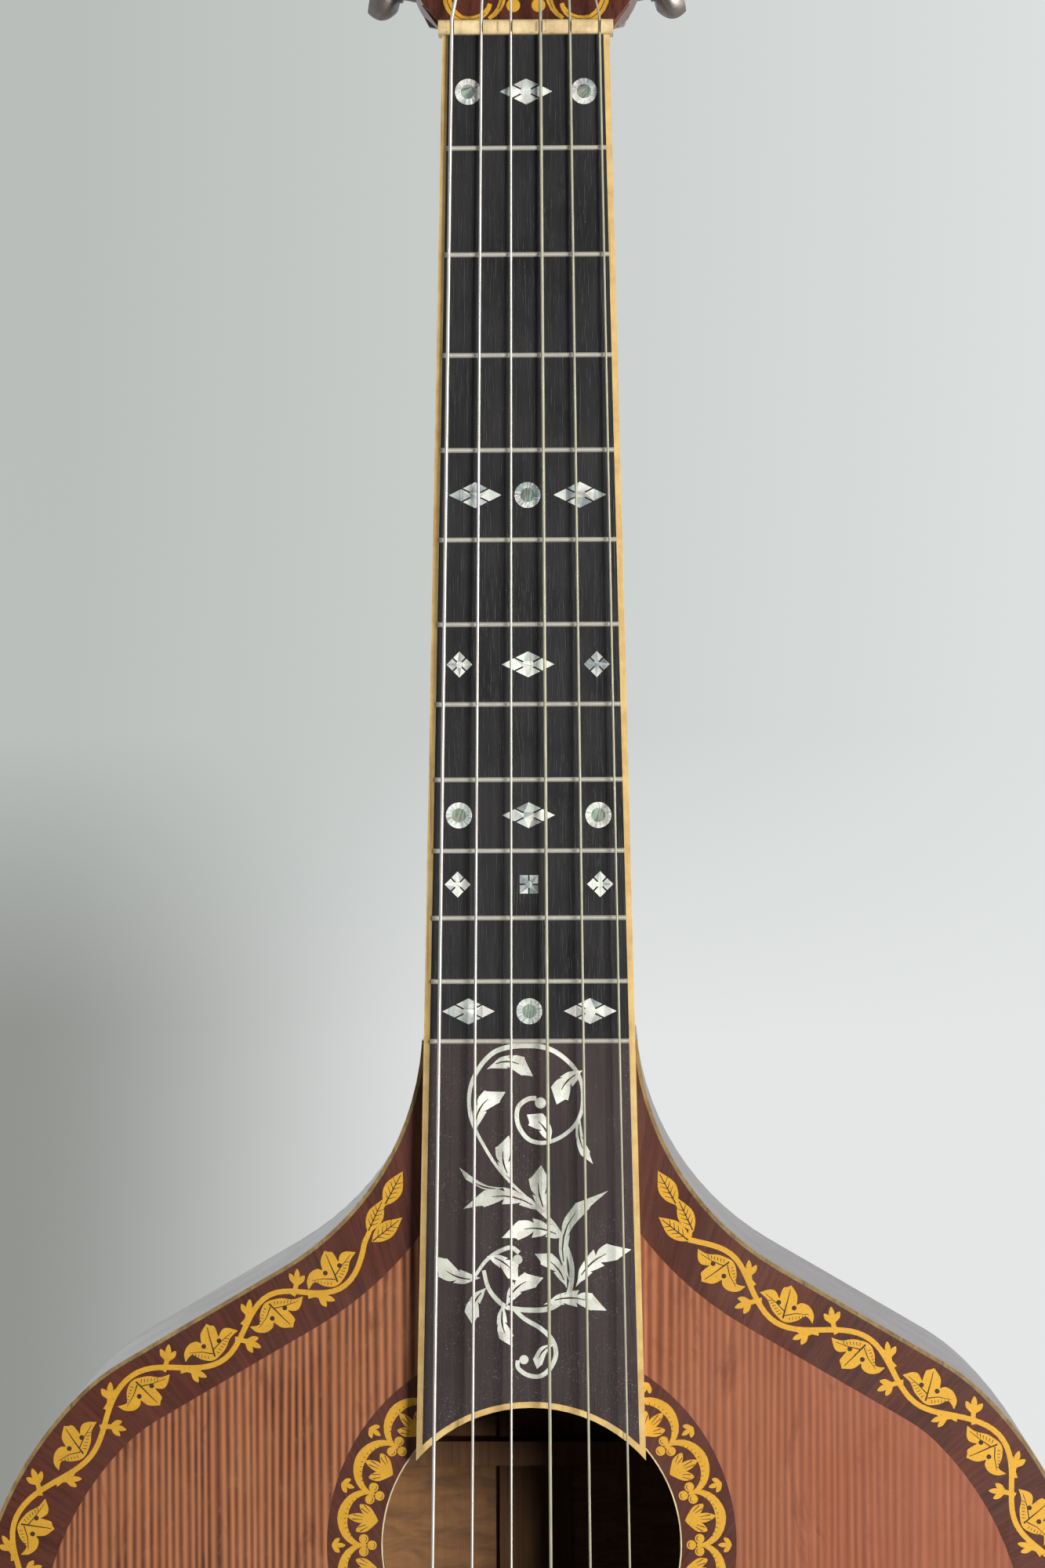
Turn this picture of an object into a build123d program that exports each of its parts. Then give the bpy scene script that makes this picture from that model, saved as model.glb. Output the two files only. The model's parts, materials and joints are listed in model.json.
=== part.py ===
from build123d import *
import os
from math import asin, atan2, cos, degrees, hypot, pi, radians, sin

# A six-string parlour instrument with a pear-shaped flat-backed body, hanging by its neck.
# Frame: +Z runs up the neck, -Y is out of the face, +X is to the right of someone facing it.
# The origin is on the centre line, in the neck's glue face, at the playing edge of the nut.
# All sizes are in millimetres.

# ---- driving dimensions ----
SCALE_LENGTH = 635.0
FRET_COUNT = 12
NUT_WIDTH = 52.8
JOINT_WIDTH = 66.75
BOARD_THICKNESS = 5.5
BOARD_BINDING = 1.9
NUT_LENGTH = 4.7

BODY_DEPTH = 92.0
TOP_THICKNESS = 2.8
BACK_THICKNESS = 2.8
RIB_THICKNESS = 2.4
EDGE_BINDING = 1.2
BORDER_WIDTH = 20.5
INLAY_DEPTH = 1.0
LINING_WIDTH = 5.0
LINING_HEIGHT = 14.0
HOLE_Z = -477.4
HOLE_RADIUS = 47.1
ROSETTE_RADIUS = 64.9
BOARD_END_Z = -481.0
BOARD_END_RADIUS = 47.8

# Half of the body's plan, from the neck to the tail: a hollow arc, a straight flank and round arcs.
# Each heading is the angle between the edge and the centre line.
PLAN_START_HALF = 34.2
PLAN_START_HEADING = 4.4
HOLLOW_RADIUS = 90.0
FLANK_HEADING = 59.8
FLANK_LENGTH = 59.2
SHOULDER_RADIUS = 68.0
SHOULDER_HEADING = 45.0
UPPER_SIDE_RADIUS = 118.0
UPPER_SIDE_HEADING = 18.0
LOWER_SIDE_RADIUS = 230.0
TAIL_RADIUS = 172.0
TAIL_DROP = 216.0

NECK_DEPTH_AT_NUT = 13.6
NECK_DEPTH_AT_BODY = 18.5
HEAD_TILT = 8.0
HEAD_THICKNESS = 14.0
VENEER_THICKNESS = 1.8
HEEL_SHELL = BODY_DEPTH - BACK_THICKNESS
BLOCK_LENGTH = 42.0
TENON_LENGTH = 14.0
TENON_DEPTH = 72.0

STRING_RADII = (0.55, 0.45, 0.38, 0.52, 0.42, 0.36)
NUT_SPACING = 9.3
SADDLE_SPACING = 13.4
SADDLE_Z = -637.0
NUT_SLOT_HEIGHT = 6.9
SADDLE_HEIGHT = 11.8

BRIDGE_LENGTH = 150.0
BRIDGE_WIDTH = 26.0
BRIDGE_HEIGHT = 9.0
PIN_Z = SADDLE_Z - 9.0
PIN_RADIUS = 2.4

# Tuners: three on a plate, each a worm on the button's shaft turning a gear on the string post.
POST_PITCH = 35.0
FIRST_POST = (24.0, 20.0)
POST_LEAN = 12.1
POST_RADIUS = 3.0
GEAR_TEETH = 14
WORM_LEAD = 2.6
WORM_PITCH_RADIUS = 2.35
WORM_TURNS = 3
PLATE_THICKNESS = 1.2
RUNNING_CLEARANCE = 0.05

# ---- places worked out from the driving dimensions ----


def fret_z(number):
    """Height of a fret on the centre line, by equal temperament."""
    return -SCALE_LENGTH * (1 - 2 ** (-number / 12))


BODY_TOP = fret_z(FRET_COUNT)
FACE = Plane.XZ
BACK_INNER = BODY_DEPTH - BACK_THICKNESS


def board_half(z):
    """Half of the bound fretboard's width at height z."""
    return (NUT_WIDTH + (JOINT_WIDTH - NUT_WIDTH) * z / BODY_TOP) / 2


def run(radius, start, end):
    """Outward and downward travel along an arc between two headings; a negative radius is round."""
    return (
        radius * (cos(radians(start)) - cos(radians(end))),
        radius * (sin(radians(end)) - sin(radians(start))),
    )


PLAN_RUNS = (
    run(HOLLOW_RADIUS, PLAN_START_HEADING, FLANK_HEADING),
    (FLANK_LENGTH * sin(radians(FLANK_HEADING)), FLANK_LENGTH * cos(radians(FLANK_HEADING))),
    run(-SHOULDER_RADIUS, FLANK_HEADING, SHOULDER_HEADING),
    run(-UPPER_SIDE_RADIUS, SHOULDER_HEADING, UPPER_SIDE_HEADING),
    run(-LOWER_SIDE_RADIUS, UPPER_SIDE_HEADING, 0),
)
PLAN_START_Z = BODY_TOP - 1.0
WIDEST_HALF = PLAN_START_HALF + sum(out for out, down in PLAN_RUNS)
WIDEST_Z = PLAN_START_Z - sum(down for out, down in PLAN_RUNS)
BODY_BOTTOM = WIDEST_Z - TAIL_DROP

# The lower half joins an arc at the widest place to the tail's arc, which is centred on the centre line.
TAIL_RISE = TAIL_DROP - TAIL_RADIUS
TAIL_REACH = WIDEST_HALF - TAIL_RADIUS
TAIL_GAP = (TAIL_RISE**2 + TAIL_REACH**2) / (2 * TAIL_REACH)
LOWER_RADIUS = TAIL_GAP + TAIL_RADIUS
LOWER_ANGLE = degrees(asin(TAIL_RISE / TAIL_GAP))

os.makedirs("parts", exist_ok=True)


def keep(part, name):
    """Label a finished piece and write it."""
    part.label = name
    export_step(part, f"parts/{name}.step")


def depth_plane(depth):
    """The plane parallel to the face, at this depth behind the glue face."""
    return FACE.offset(-depth)


def draw_plan(inset, mode=Mode.ADD):
    """Draw the body's plan, its sides moved in by inset, as a closed shape in the open sketch."""
    heading = Vector(sin(radians(PLAN_START_HEADING)), -cos(radians(PLAN_START_HEADING)))
    start = Vector(PLAN_START_HALF, PLAN_START_Z) + Vector(heading.Y, -heading.X) * inset
    with BuildLine() as plan:
        hollow = JernArc(start, heading, HOLLOW_RADIUS + inset, FLANK_HEADING - PLAN_START_HEADING)
        flank = Line(hollow @ 1, hollow @ 1 + (hollow % 1) * FLANK_LENGTH)
        shoulder = JernArc(
            flank @ 1, flank % 1, SHOULDER_RADIUS - inset, SHOULDER_HEADING - FLANK_HEADING
        )
        upper = JernArc(
            shoulder @ 1, shoulder % 1, UPPER_SIDE_RADIUS - inset, UPPER_SIDE_HEADING - SHOULDER_HEADING
        )
        side = JernArc(upper @ 1, upper % 1, LOWER_SIDE_RADIUS - inset, -UPPER_SIDE_HEADING)
        lower = JernArc(side @ 1, side % 1, LOWER_RADIUS - inset, -LOWER_ANGLE)
        JernArc(lower @ 1, lower % 1, TAIL_RADIUS - inset, LOWER_ANGLE - 90)
        Polyline(start, (start.X, BODY_TOP), (0, BODY_TOP))
        mirror(about=Plane.YZ)
    make_face(plan.edges(), mode=mode)


def draw_tenon():
    """Draw the neck's dovetail tenon in the open sketch: narrow at the heel, wider in the block."""
    end = BODY_TOP - TENON_LENGTH
    Polygon((-9, BODY_TOP), (9, BODY_TOP), (12, end), (-12, end), align=None)


def string_x(number, spacing):
    """Across-the-neck place of string 0 to 5 at an even spacing."""
    return (number - 2.5) * spacing


# ---- body shell ----

with BuildPart() as soundboard:
    with BuildSketch(FACE):
        draw_plan(EDGE_BINDING)
    extrude(amount=-TOP_THICKNESS)
    with BuildSketch(FACE):
        draw_plan(EDGE_BINDING)
        draw_plan(EDGE_BINDING + BORDER_WIDTH, mode=Mode.SUBTRACT)
        with Locations((0, HOLE_Z)):
            Circle(ROSETTE_RADIUS)
    extrude(amount=-INLAY_DEPTH, mode=Mode.SUBTRACT)
    with BuildSketch(FACE):
        with Locations((0, HOLE_Z)):
            Circle(HOLE_RADIUS)
        with Locations([(string_x(n, SADDLE_SPACING), PIN_Z) for n in range(6)]):
            Circle(PIN_RADIUS)
        draw_tenon()
    extrude(amount=-TOP_THICKNESS, mode=Mode.SUBTRACT)
keep(soundboard.part, "soundboard")

with BuildPart() as rosewood_border:
    with BuildSketch(FACE):
        draw_plan(EDGE_BINDING)
        draw_plan(EDGE_BINDING + BORDER_WIDTH, mode=Mode.SUBTRACT)
    extrude(amount=-INLAY_DEPTH)
keep(rosewood_border.part, "rosewood_border")

with BuildPart() as rosette_ring:
    with BuildSketch(FACE):
        with Locations((0, HOLE_Z)):
            Circle(ROSETTE_RADIUS)
            Circle(HOLE_RADIUS, mode=Mode.SUBTRACT)
    extrude(amount=-INLAY_DEPTH)
keep(rosette_ring.part, "rosette_ring")


def edge_strip(depth, thickness):
    """A binding strip around the plate that starts at this depth."""
    with BuildPart() as strip:
        with BuildSketch(depth_plane(depth)):
            draw_plan(0)
            draw_plan(EDGE_BINDING, mode=Mode.SUBTRACT)
        extrude(amount=-thickness)
    return strip.part


keep(edge_strip(0, TOP_THICKNESS), "top_binding")
keep(edge_strip(BACK_INNER, BACK_THICKNESS), "back_binding")

END_PIN_RADIUS = 4.0
with BuildPart() as rib_right:
    with BuildSketch(depth_plane(TOP_THICKNESS)):
        draw_plan(0)
        draw_plan(RIB_THICKNESS, mode=Mode.SUBTRACT)
        with Locations((0, BODY_TOP)):
            Rectangle(2 * PLAN_START_HALF, RIB_THICKNESS, align=(Align.CENTER, Align.MAX))
    extrude(amount=TOP_THICKNESS - BACK_INNER)
    with BuildSketch(FACE):
        draw_tenon()
    extrude(amount=-TENON_DEPTH, mode=Mode.SUBTRACT)
    with BuildSketch(Plane.XY.offset(BODY_BOTTOM - 1)):
        with Locations((0, BODY_DEPTH / 2)):
            Circle(END_PIN_RADIUS)
    extrude(amount=2 * RIB_THICKNESS, mode=Mode.SUBTRACT)
    split(bisect_by=Plane.YZ, keep=Keep.TOP)
keep(rib_right.part, "rib_right")

with BuildPart() as rib_left:
    mirror(rib_right.part, about=Plane.YZ)
keep(rib_left.part, "rib_left")

STRIPE_WIDTH = 5.0
with BuildPart() as back_right:
    with BuildSketch(depth_plane(BACK_INNER)):
        draw_plan(EDGE_BINDING)
    extrude(amount=-BACK_THICKNESS)
    with BuildSketch(depth_plane(BODY_DEPTH)):
        with Locations((0, (BODY_TOP + BODY_BOTTOM) / 2)):
            Rectangle(STRIPE_WIDTH, 2 * SCALE_LENGTH)
    extrude(amount=INLAY_DEPTH, mode=Mode.SUBTRACT)
    split(bisect_by=Plane.YZ, keep=Keep.TOP)

keep(Compound(children=[back_right.part, mirror(back_right.part, about=Plane.YZ)]), "back")

with BuildPart() as back_stripe:
    with BuildSketch(depth_plane(BODY_DEPTH)):
        with Locations((0, (BODY_TOP + BODY_BOTTOM) / 2)):
            Rectangle(STRIPE_WIDTH, 2 * SCALE_LENGTH)
        draw_plan(EDGE_BINDING, mode=Mode.INTERSECT)
    extrude(amount=INLAY_DEPTH)
keep(back_stripe.part, "back_stripe")

# ---- inside the body ----

TAIL_BLOCK_LENGTH = 18.0
TAIL_BLOCK_HALF = 38.0
BLOCK_TOP = BODY_TOP - RIB_THICKNESS
BLOCK_END = BODY_TOP - BLOCK_LENGTH
TAIL_BLOCK_TOP = BODY_BOTTOM + RIB_THICKNESS + TAIL_BLOCK_LENGTH

with BuildPart() as neck_block:
    with BuildSketch(depth_plane(TOP_THICKNESS)):
        with Locations((0, BLOCK_TOP)):
            Rectangle(4 * PLAN_START_HALF, BLOCK_TOP - BLOCK_END, align=(Align.CENTER, Align.MAX))
        draw_plan(RIB_THICKNESS, mode=Mode.INTERSECT)
    extrude(amount=TOP_THICKNESS - BACK_INNER)
    with BuildSketch(FACE):
        draw_tenon()
    extrude(amount=-TENON_DEPTH, mode=Mode.SUBTRACT)
keep(neck_block.part, "neck_block")

with BuildPart() as tail_block:
    with BuildSketch(depth_plane(TOP_THICKNESS)):
        with Locations((0, TAIL_BLOCK_TOP)):
            Rectangle(2 * TAIL_BLOCK_HALF, 2 * TAIL_BLOCK_LENGTH, align=(Align.CENTER, Align.MAX))
        draw_plan(RIB_THICKNESS, mode=Mode.INTERSECT)
    extrude(amount=TOP_THICKNESS - BACK_INNER)
    with BuildSketch(Plane.XY.offset(BODY_BOTTOM)):
        with Locations((0, BODY_DEPTH / 2)):
            Circle(END_PIN_RADIUS)
    extrude(amount=2 * TAIL_BLOCK_LENGTH, mode=Mode.SUBTRACT)
keep(tail_block.part, "tail_block")

with BuildPart() as linings:
    for depth in (TOP_THICKNESS, BACK_INNER - LINING_HEIGHT):
        with BuildSketch(depth_plane(depth)):
            draw_plan(RIB_THICKNESS)
            draw_plan(RIB_THICKNESS + LINING_WIDTH, mode=Mode.SUBTRACT)
            with Locations((0, BODY_TOP)):
                Rectangle(
                    6 * PLAN_START_HALF, 2 * BLOCK_LENGTH, align=Align.CENTER, mode=Mode.SUBTRACT
                )
            with Locations((0, TAIL_BLOCK_TOP)):
                Rectangle(
                    2 * TAIL_BLOCK_HALF,
                    2 * TAIL_BLOCK_LENGTH,
                    align=(Align.CENTER, Align.MAX),
                    mode=Mode.SUBTRACT,
                )
        extrude(amount=-LINING_HEIGHT)
keep(linings.part, "linings")

BRACE_WIDTH = 8.0
TOP_BRACE_HEIGHT = 15.0
BACK_BRACE_HEIGHT = 14.0
TOP_BRACE_PLACES = (-411.0, -541.0, -594.0, -696.0)
BACK_BRACE_PLACES = (-392.0, -459.0, -561.0, -664.0)


def brace_bars(places, depth, height):
    """Cross bars glued between the linings on one plate, from this depth backwards."""
    with BuildPart() as bars:
        with BuildSketch(depth_plane(depth)):
            with Locations([(0, z) for z in places]):
                Rectangle(2 * WIDEST_HALF, BRACE_WIDTH)
            draw_plan(RIB_THICKNESS + LINING_WIDTH, mode=Mode.INTERSECT)
        extrude(amount=-height)
    return bars.part


keep(brace_bars(TOP_BRACE_PLACES, TOP_THICKNESS, TOP_BRACE_HEIGHT), "top_braces")
keep(brace_bars(BACK_BRACE_PLACES, BACK_INNER - BACK_BRACE_HEIGHT, BACK_BRACE_HEIGHT), "back_braces")

STRIP_WIDTH = 24.0
STRIP_THICKNESS = 2.2
with BuildPart() as back_centre_strip:
    with BuildSketch(depth_plane(BACK_INNER - STRIP_THICKNESS)):
        with Locations((0, BLOCK_END)):
            Rectangle(STRIP_WIDTH, BLOCK_END - TAIL_BLOCK_TOP, align=(Align.CENTER, Align.MAX))
        with Locations([(0, z) for z in BACK_BRACE_PLACES]):
            Rectangle(2 * STRIP_WIDTH, BRACE_WIDTH, mode=Mode.SUBTRACT)
    extrude(amount=-STRIP_THICKNESS)
keep(back_centre_strip.part, "back_centre_strip")

PLATE_SIZE = (160.0, 36.0, 2.5)
with BuildPart() as bridge_plate:
    with BuildSketch(depth_plane(TOP_THICKNESS)):
        with Locations((0, SADDLE_Z - 3)):
            Rectangle(PLATE_SIZE[0], PLATE_SIZE[1])
        with Locations([(string_x(n, SADDLE_SPACING), PIN_Z) for n in range(6)]):
            Circle(PIN_RADIUS, mode=Mode.SUBTRACT)
    extrude(amount=-PLATE_SIZE[2])
keep(bridge_plate.part, "bridge_plate")

END_PIN_HEAD = 7.0
END_PIN_WAIST = 4.5
END_PIN_WAIST_LENGTH = 5.0
END_PIN_FLANGE = 1.6
END_PIN_KNOB = 5.0
END_PIN_STACK = (
    (END_PIN_HEAD, END_PIN_FLANGE),
    (END_PIN_WAIST, END_PIN_WAIST_LENGTH),
    (END_PIN_HEAD, END_PIN_KNOB),
)
with BuildPart() as end_pin:
    with BuildSketch(Plane.XY.offset(BODY_BOTTOM)):
        with Locations((0, BODY_DEPTH / 2)):
            Circle(END_PIN_RADIUS)
    extrude(amount=TAIL_BLOCK_TOP - BODY_BOTTOM)
    level = BODY_BOTTOM
    for radius, length in END_PIN_STACK:
        with BuildSketch(Plane.XY.offset(level)):
            with Locations((0, BODY_DEPTH / 2)):
                Circle(radius)
        extrude(amount=-length)
        level -= length
    fillet(end_pin.edges().filter_by(GeomType.CIRCLE).sort_by(Axis.Z)[0], radius=3.0)
keep(end_pin.part, "end_pin")

# ---- neck and head ----

HEAD = Plane(
    origin=(0, 0, NUT_LENGTH),
    x_dir=(1, 0, 0),
    z_dir=(0, -cos(radians(HEAD_TILT)), sin(radians(HEAD_TILT))),
)
HEAD_UP = HEAD.y_dir
RAMP_END = 6.0
RAMP_HALF = 33.0
FRONT_LIP = 3.0


def draw_section(half, depth, corner_x, corner_y):
    """Draw a neck cross-section: flat on the glue face and rounded behind."""
    with BuildLine() as section:
        side = Line((half, 0), (half, depth - corner_y))
        corner = EllipticalCenterArc(
            (half - corner_x, depth - corner_y), corner_x, corner_y, start_angle=0, arc_size=90
        )
        Line(corner @ 1, (0, depth))
        Line((0, 0), side @ 0)
        mirror(about=Plane.YZ)
    make_face(section.edges())


def draw_head():
    """Draw the head's face, flared above the nut and narrowing to a round crown."""
    with BuildLine() as face:
        flare = Spline(
            (27.9, 0), (31.6, 4.5), (36.6, 18), tangents=((0.55, 0.8), (0, 1)), tangent_scalars=(1, 1)
        )
        side = Line(flare @ 1 + (0, 6), (18.6, 104))
        Line(flare @ 1, side @ 0)
        ThreePointArc(side @ 1, (14.5, 113), (0, 119))
        Line((0, 0), flare @ 0)
        mirror(about=Plane.YZ)
    make_face(face.edges())


def tuner_plane(depth):
    """Right-hand tuner frame: X out to the button, Y up the line of posts, at this depth in the head."""
    lean = radians(POST_LEAN)
    across = HEAD.x_dir * cos(lean) + HEAD_UP * sin(lean)
    origin = HEAD.origin + HEAD.x_dir * FIRST_POST[0] + HEAD_UP * FIRST_POST[1] - HEAD.z_dir * depth
    return Plane(origin=origin, x_dir=across, z_dir=HEAD.z_dir)


def both_sides(part):
    """The piece and its mirror image."""
    return Compound(children=[part, mirror(part, about=Plane.YZ)])


POST_PLACES = [(0, n * POST_PITCH) for n in range(3)]
SCREW_PLACES = [(3.0, -13.8), (-2.5, 17.5), (-2.5, 52.5), (4.5, 81.5)]
POST_HOLE_RADIUS = POST_RADIUS + RUNNING_CLEARANCE
BUSHING_RADIUS = 4.6
BUSHING_FLANGE = 6.0
BUSHING_DEPTH = 5.0
SCREW_RADIUS = 1.1
SCREW_LENGTH = 8.0

with BuildPart() as post_drill:
    with BuildSketch(tuner_plane(HEAD_THICKNESS)):
        with Locations(POST_PLACES):
            Circle(POST_HOLE_RADIUS + 0.2)
    extrude(amount=HEAD_THICKNESS + VENEER_THICKNESS)
    with BuildSketch(tuner_plane(-VENEER_THICKNESS)):
        with Locations(POST_PLACES):
            Circle(BUSHING_RADIUS)
    extrude(amount=-VENEER_THICKNESS - BUSHING_DEPTH)
    with BuildSketch(tuner_plane(HEAD_THICKNESS)):
        with Locations(SCREW_PLACES):
            Circle(SCREW_RADIUS)
    extrude(amount=SCREW_LENGTH)

with BuildPart() as neck:
    for z, depth in ((BODY_TOP, NECK_DEPTH_AT_BODY), (1.5, NECK_DEPTH_AT_NUT)):
        with BuildSketch(Plane.XY.offset(z)):
            draw_section(board_half(z), depth, board_half(z) - 0.5, depth - 1.5)
    loft(ruled=True)
    with BuildSketch(Plane.XY.offset(1.5)):
        draw_section(board_half(1.5), NECK_DEPTH_AT_NUT, board_half(1.5) - 0.5, NECK_DEPTH_AT_NUT - 1.5)
    with BuildSketch(Plane(origin=HEAD.origin + HEAD_UP * RAMP_END, x_dir=(1, 0, 0), z_dir=HEAD_UP)):
        draw_section(RAMP_HALF, HEAD_THICKNESS, 3.0, 3.0)
    loft(ruled=True)
    with BuildSketch(HEAD):
        draw_head()
    extrude(amount=-FRONT_LIP)
    with BuildSketch(HEAD):
        draw_head()
        with Locations((0, RAMP_END)):
            Rectangle(4 * RAMP_HALF, 2 * RAMP_END, align=(Align.CENTER, Align.MAX), mode=Mode.SUBTRACT)
    extrude(amount=-HEAD_THICKNESS)
    for depth, half, length in ((0, 33.2, 58), (22, 26, 35), (52, 19, 23), (HEEL_SHELL, 14, 18)):
        with BuildSketch(depth_plane(depth)):
            with BuildLine() as heel_line:
                EllipticalCenterArc((0, BODY_TOP), half, length, start_angle=0, arc_size=180)
                Line((-half, BODY_TOP), (half, BODY_TOP))
            make_face()
    loft()
    with BuildSketch(FACE):
        draw_tenon()
    extrude(amount=-TENON_DEPTH)
    add(post_drill.part, mode=Mode.SUBTRACT)
    mirror(post_drill.part, about=Plane.YZ, mode=Mode.SUBTRACT)
keep(neck.part, "neck")

with BuildPart() as heel_cap:
    with BuildSketch(depth_plane(HEEL_SHELL)):
        with BuildLine():
            EllipticalCenterArc((0, BODY_TOP), 14, 18, start_angle=0, arc_size=180)
            Line((-14, BODY_TOP), (14, BODY_TOP))
        make_face()
    extrude(amount=-BACK_THICKNESS)
keep(heel_cap.part, "heel_cap")

with BuildPart() as head_veneer:
    with BuildSketch(HEAD):
        draw_head()
    extrude(amount=VENEER_THICKNESS)
    add(post_drill.part, mode=Mode.SUBTRACT)
    mirror(post_drill.part, about=Plane.YZ, mode=Mode.SUBTRACT)
keep(head_veneer.part, "head_veneer")

# ---- fretboard ----

EBONY_END = BODY_TOP - 0.3
BOARD_LOW = -460.0
SLOT_WIDTH = 0.6
SLOT_DEPTH = 2.0
DIAMOND = (16.6, 8.2)
SQUARE = 8.2
RING_RADIUS = 4.1
RING_BORE = 2.25


def draw_board(top, bottom, margin):
    """Draw the stretch of the tapered board between two heights, its sides moved in by margin."""
    upper, lower = board_half(top) - margin, board_half(bottom) - margin
    Polygon((-upper, top), (upper, top), (lower, bottom), (-lower, bottom), align=None)


def space_middle(number):
    """Height half-way between a fret and the one above it."""
    return (fret_z(number) + fret_z(number - 1)) / 2


def draw_lozenge(place, width, height, turn=0):
    """Draw a lozenge cut in from the middle of each edge, so that it reads as four small ones."""
    slot_length = 0.64 * hypot(width, height) / 4
    slot_angle = degrees(atan2(height, width))
    with Locations(Location(place, turn)):
        Polygon((width / 2, 0), (0, height / 2), (-width / 2, 0), (0, -height / 2), align=None)
        for side_x in (-1, 1):
            for side_y in (-1, 1):
                with Locations((side_x * width * 0.19, side_y * height * 0.19)):
                    Rectangle(
                        slot_length * 1.2, 0.5, rotation=side_x * side_y * slot_angle, mode=Mode.SUBTRACT
                    )


LOZENGES = [
    (0, 1, DIAMOND, 0),
    (-16.5, 5, DIAMOND, 0),
    (16.5, 5, DIAMOND, 0),
    (0, 7, DIAMOND, 0),
    (-21.7, 7, (SQUARE, SQUARE), 0),
    (21.7, 7, (SQUARE, SQUARE), 0),
    (0, 9, DIAMOND, 0),
    (0, 10, (SQUARE, SQUARE), 45),
    (-22.5, 10, (SQUARE, SQUARE), 0),
    (22.5, 10, (SQUARE, SQUARE), 0),
    (-19.2, 12, DIAMOND, 0),
    (19.2, 12, DIAMOND, 0),
]
RINGS = [(-18.3, 1), (18.3, 1), (0, 5), (-22, 9), (22, 9), (0, 12)]
RING_PLACES = [(x, space_middle(space)) for x, space in RINGS]
BOARD_TOP_PLANE = FACE.offset(BOARD_THICKNESS)

with BuildPart() as pearl_lozenges:
    for x, space, size, turn in LOZENGES:
        with BuildSketch(BOARD_TOP_PLANE):
            draw_lozenge((x, space_middle(space)), size[0], size[1], turn)
        extrude(amount=-INLAY_DEPTH)
keep(pearl_lozenges.part, "pearl_lozenges")

with BuildPart() as pearl_rings:
    with BuildSketch(BOARD_TOP_PLANE):
        with Locations(RING_PLACES):
            Circle(RING_RADIUS)
            Circle(RING_BORE, mode=Mode.SUBTRACT)
    extrude(amount=-INLAY_DEPTH)
keep(pearl_rings.part, "pearl_rings")

with BuildPart() as shell_dots:
    with BuildSketch(BOARD_TOP_PLANE):
        with Locations(RING_PLACES):
            Circle(RING_BORE)
    extrude(amount=-INLAY_DEPTH)
keep(shell_dots.part, "shell_dots")

with BuildPart() as fretboard:
    with BuildSketch(FACE):
        draw_board(0, EBONY_END, BOARD_BINDING)
    extrude(amount=BOARD_THICKNESS)
    with BuildSketch(BOARD_TOP_PLANE):
        with Locations([(0, fret_z(n)) for n in range(1, FRET_COUNT + 1)]):
            Rectangle(2 * JOINT_WIDTH, SLOT_WIDTH)
        with Locations(RING_PLACES):
            Circle(RING_RADIUS)
    extrude(amount=-INLAY_DEPTH, mode=Mode.SUBTRACT)
    with BuildSketch(BOARD_TOP_PLANE):
        with Locations([(0, fret_z(n)) for n in range(1, FRET_COUNT + 1)]):
            Rectangle(2 * JOINT_WIDTH, SLOT_WIDTH)
    extrude(amount=-SLOT_DEPTH, mode=Mode.SUBTRACT)
    add(pearl_lozenges.part, mode=Mode.SUBTRACT)
keep(fretboard.part, "fretboard")

FRET_WIDTH = 1.6
FRET_HEIGHT = 1.0
with BuildPart() as frets:
    for n in range(1, FRET_COUNT + 1):
        with BuildSketch(Plane.YZ):
            with BuildLine():
                EllipticalCenterArc(
                    (-BOARD_THICKNESS, fret_z(n)),
                    FRET_HEIGHT,
                    FRET_WIDTH / 2,
                    start_angle=90,
                    arc_size=180,
                )
                Line(
                    (-BOARD_THICKNESS, fret_z(n) - FRET_WIDTH / 2),
                    (-BOARD_THICKNESS, fret_z(n) + FRET_WIDTH / 2),
                )
            make_face()
            with Locations((-BOARD_THICKNESS, fret_z(n))):
                Rectangle(SLOT_DEPTH, SLOT_WIDTH, align=(Align.MIN, Align.CENTER))
        extrude(amount=board_half(fret_z(n)) - BOARD_BINDING - 0.05, both=True)
keep(frets.part, "frets")


def draw_leaf(base, tip, width):
    """Draw a leaf, pointed at both ends, in the open sketch."""
    base, tip = Vector(*base), Vector(*tip)
    along = tip - base
    across = Vector(-along.Y, along.X).normalized() * width / 2
    with BuildLine() as leaf:
        ThreePointArc(base, base + along * 0.45 + across, tip)
        ThreePointArc(base, base + along * 0.45 - across, tip)
    make_face(leaf.edges())


def draw_stem(points, width=1.3):
    """Draw a stem of even width through these points in the open sketch."""
    with BuildLine() as stem:
        Spline(*points)
    trace(stem.edges(), line_width=width)


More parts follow.
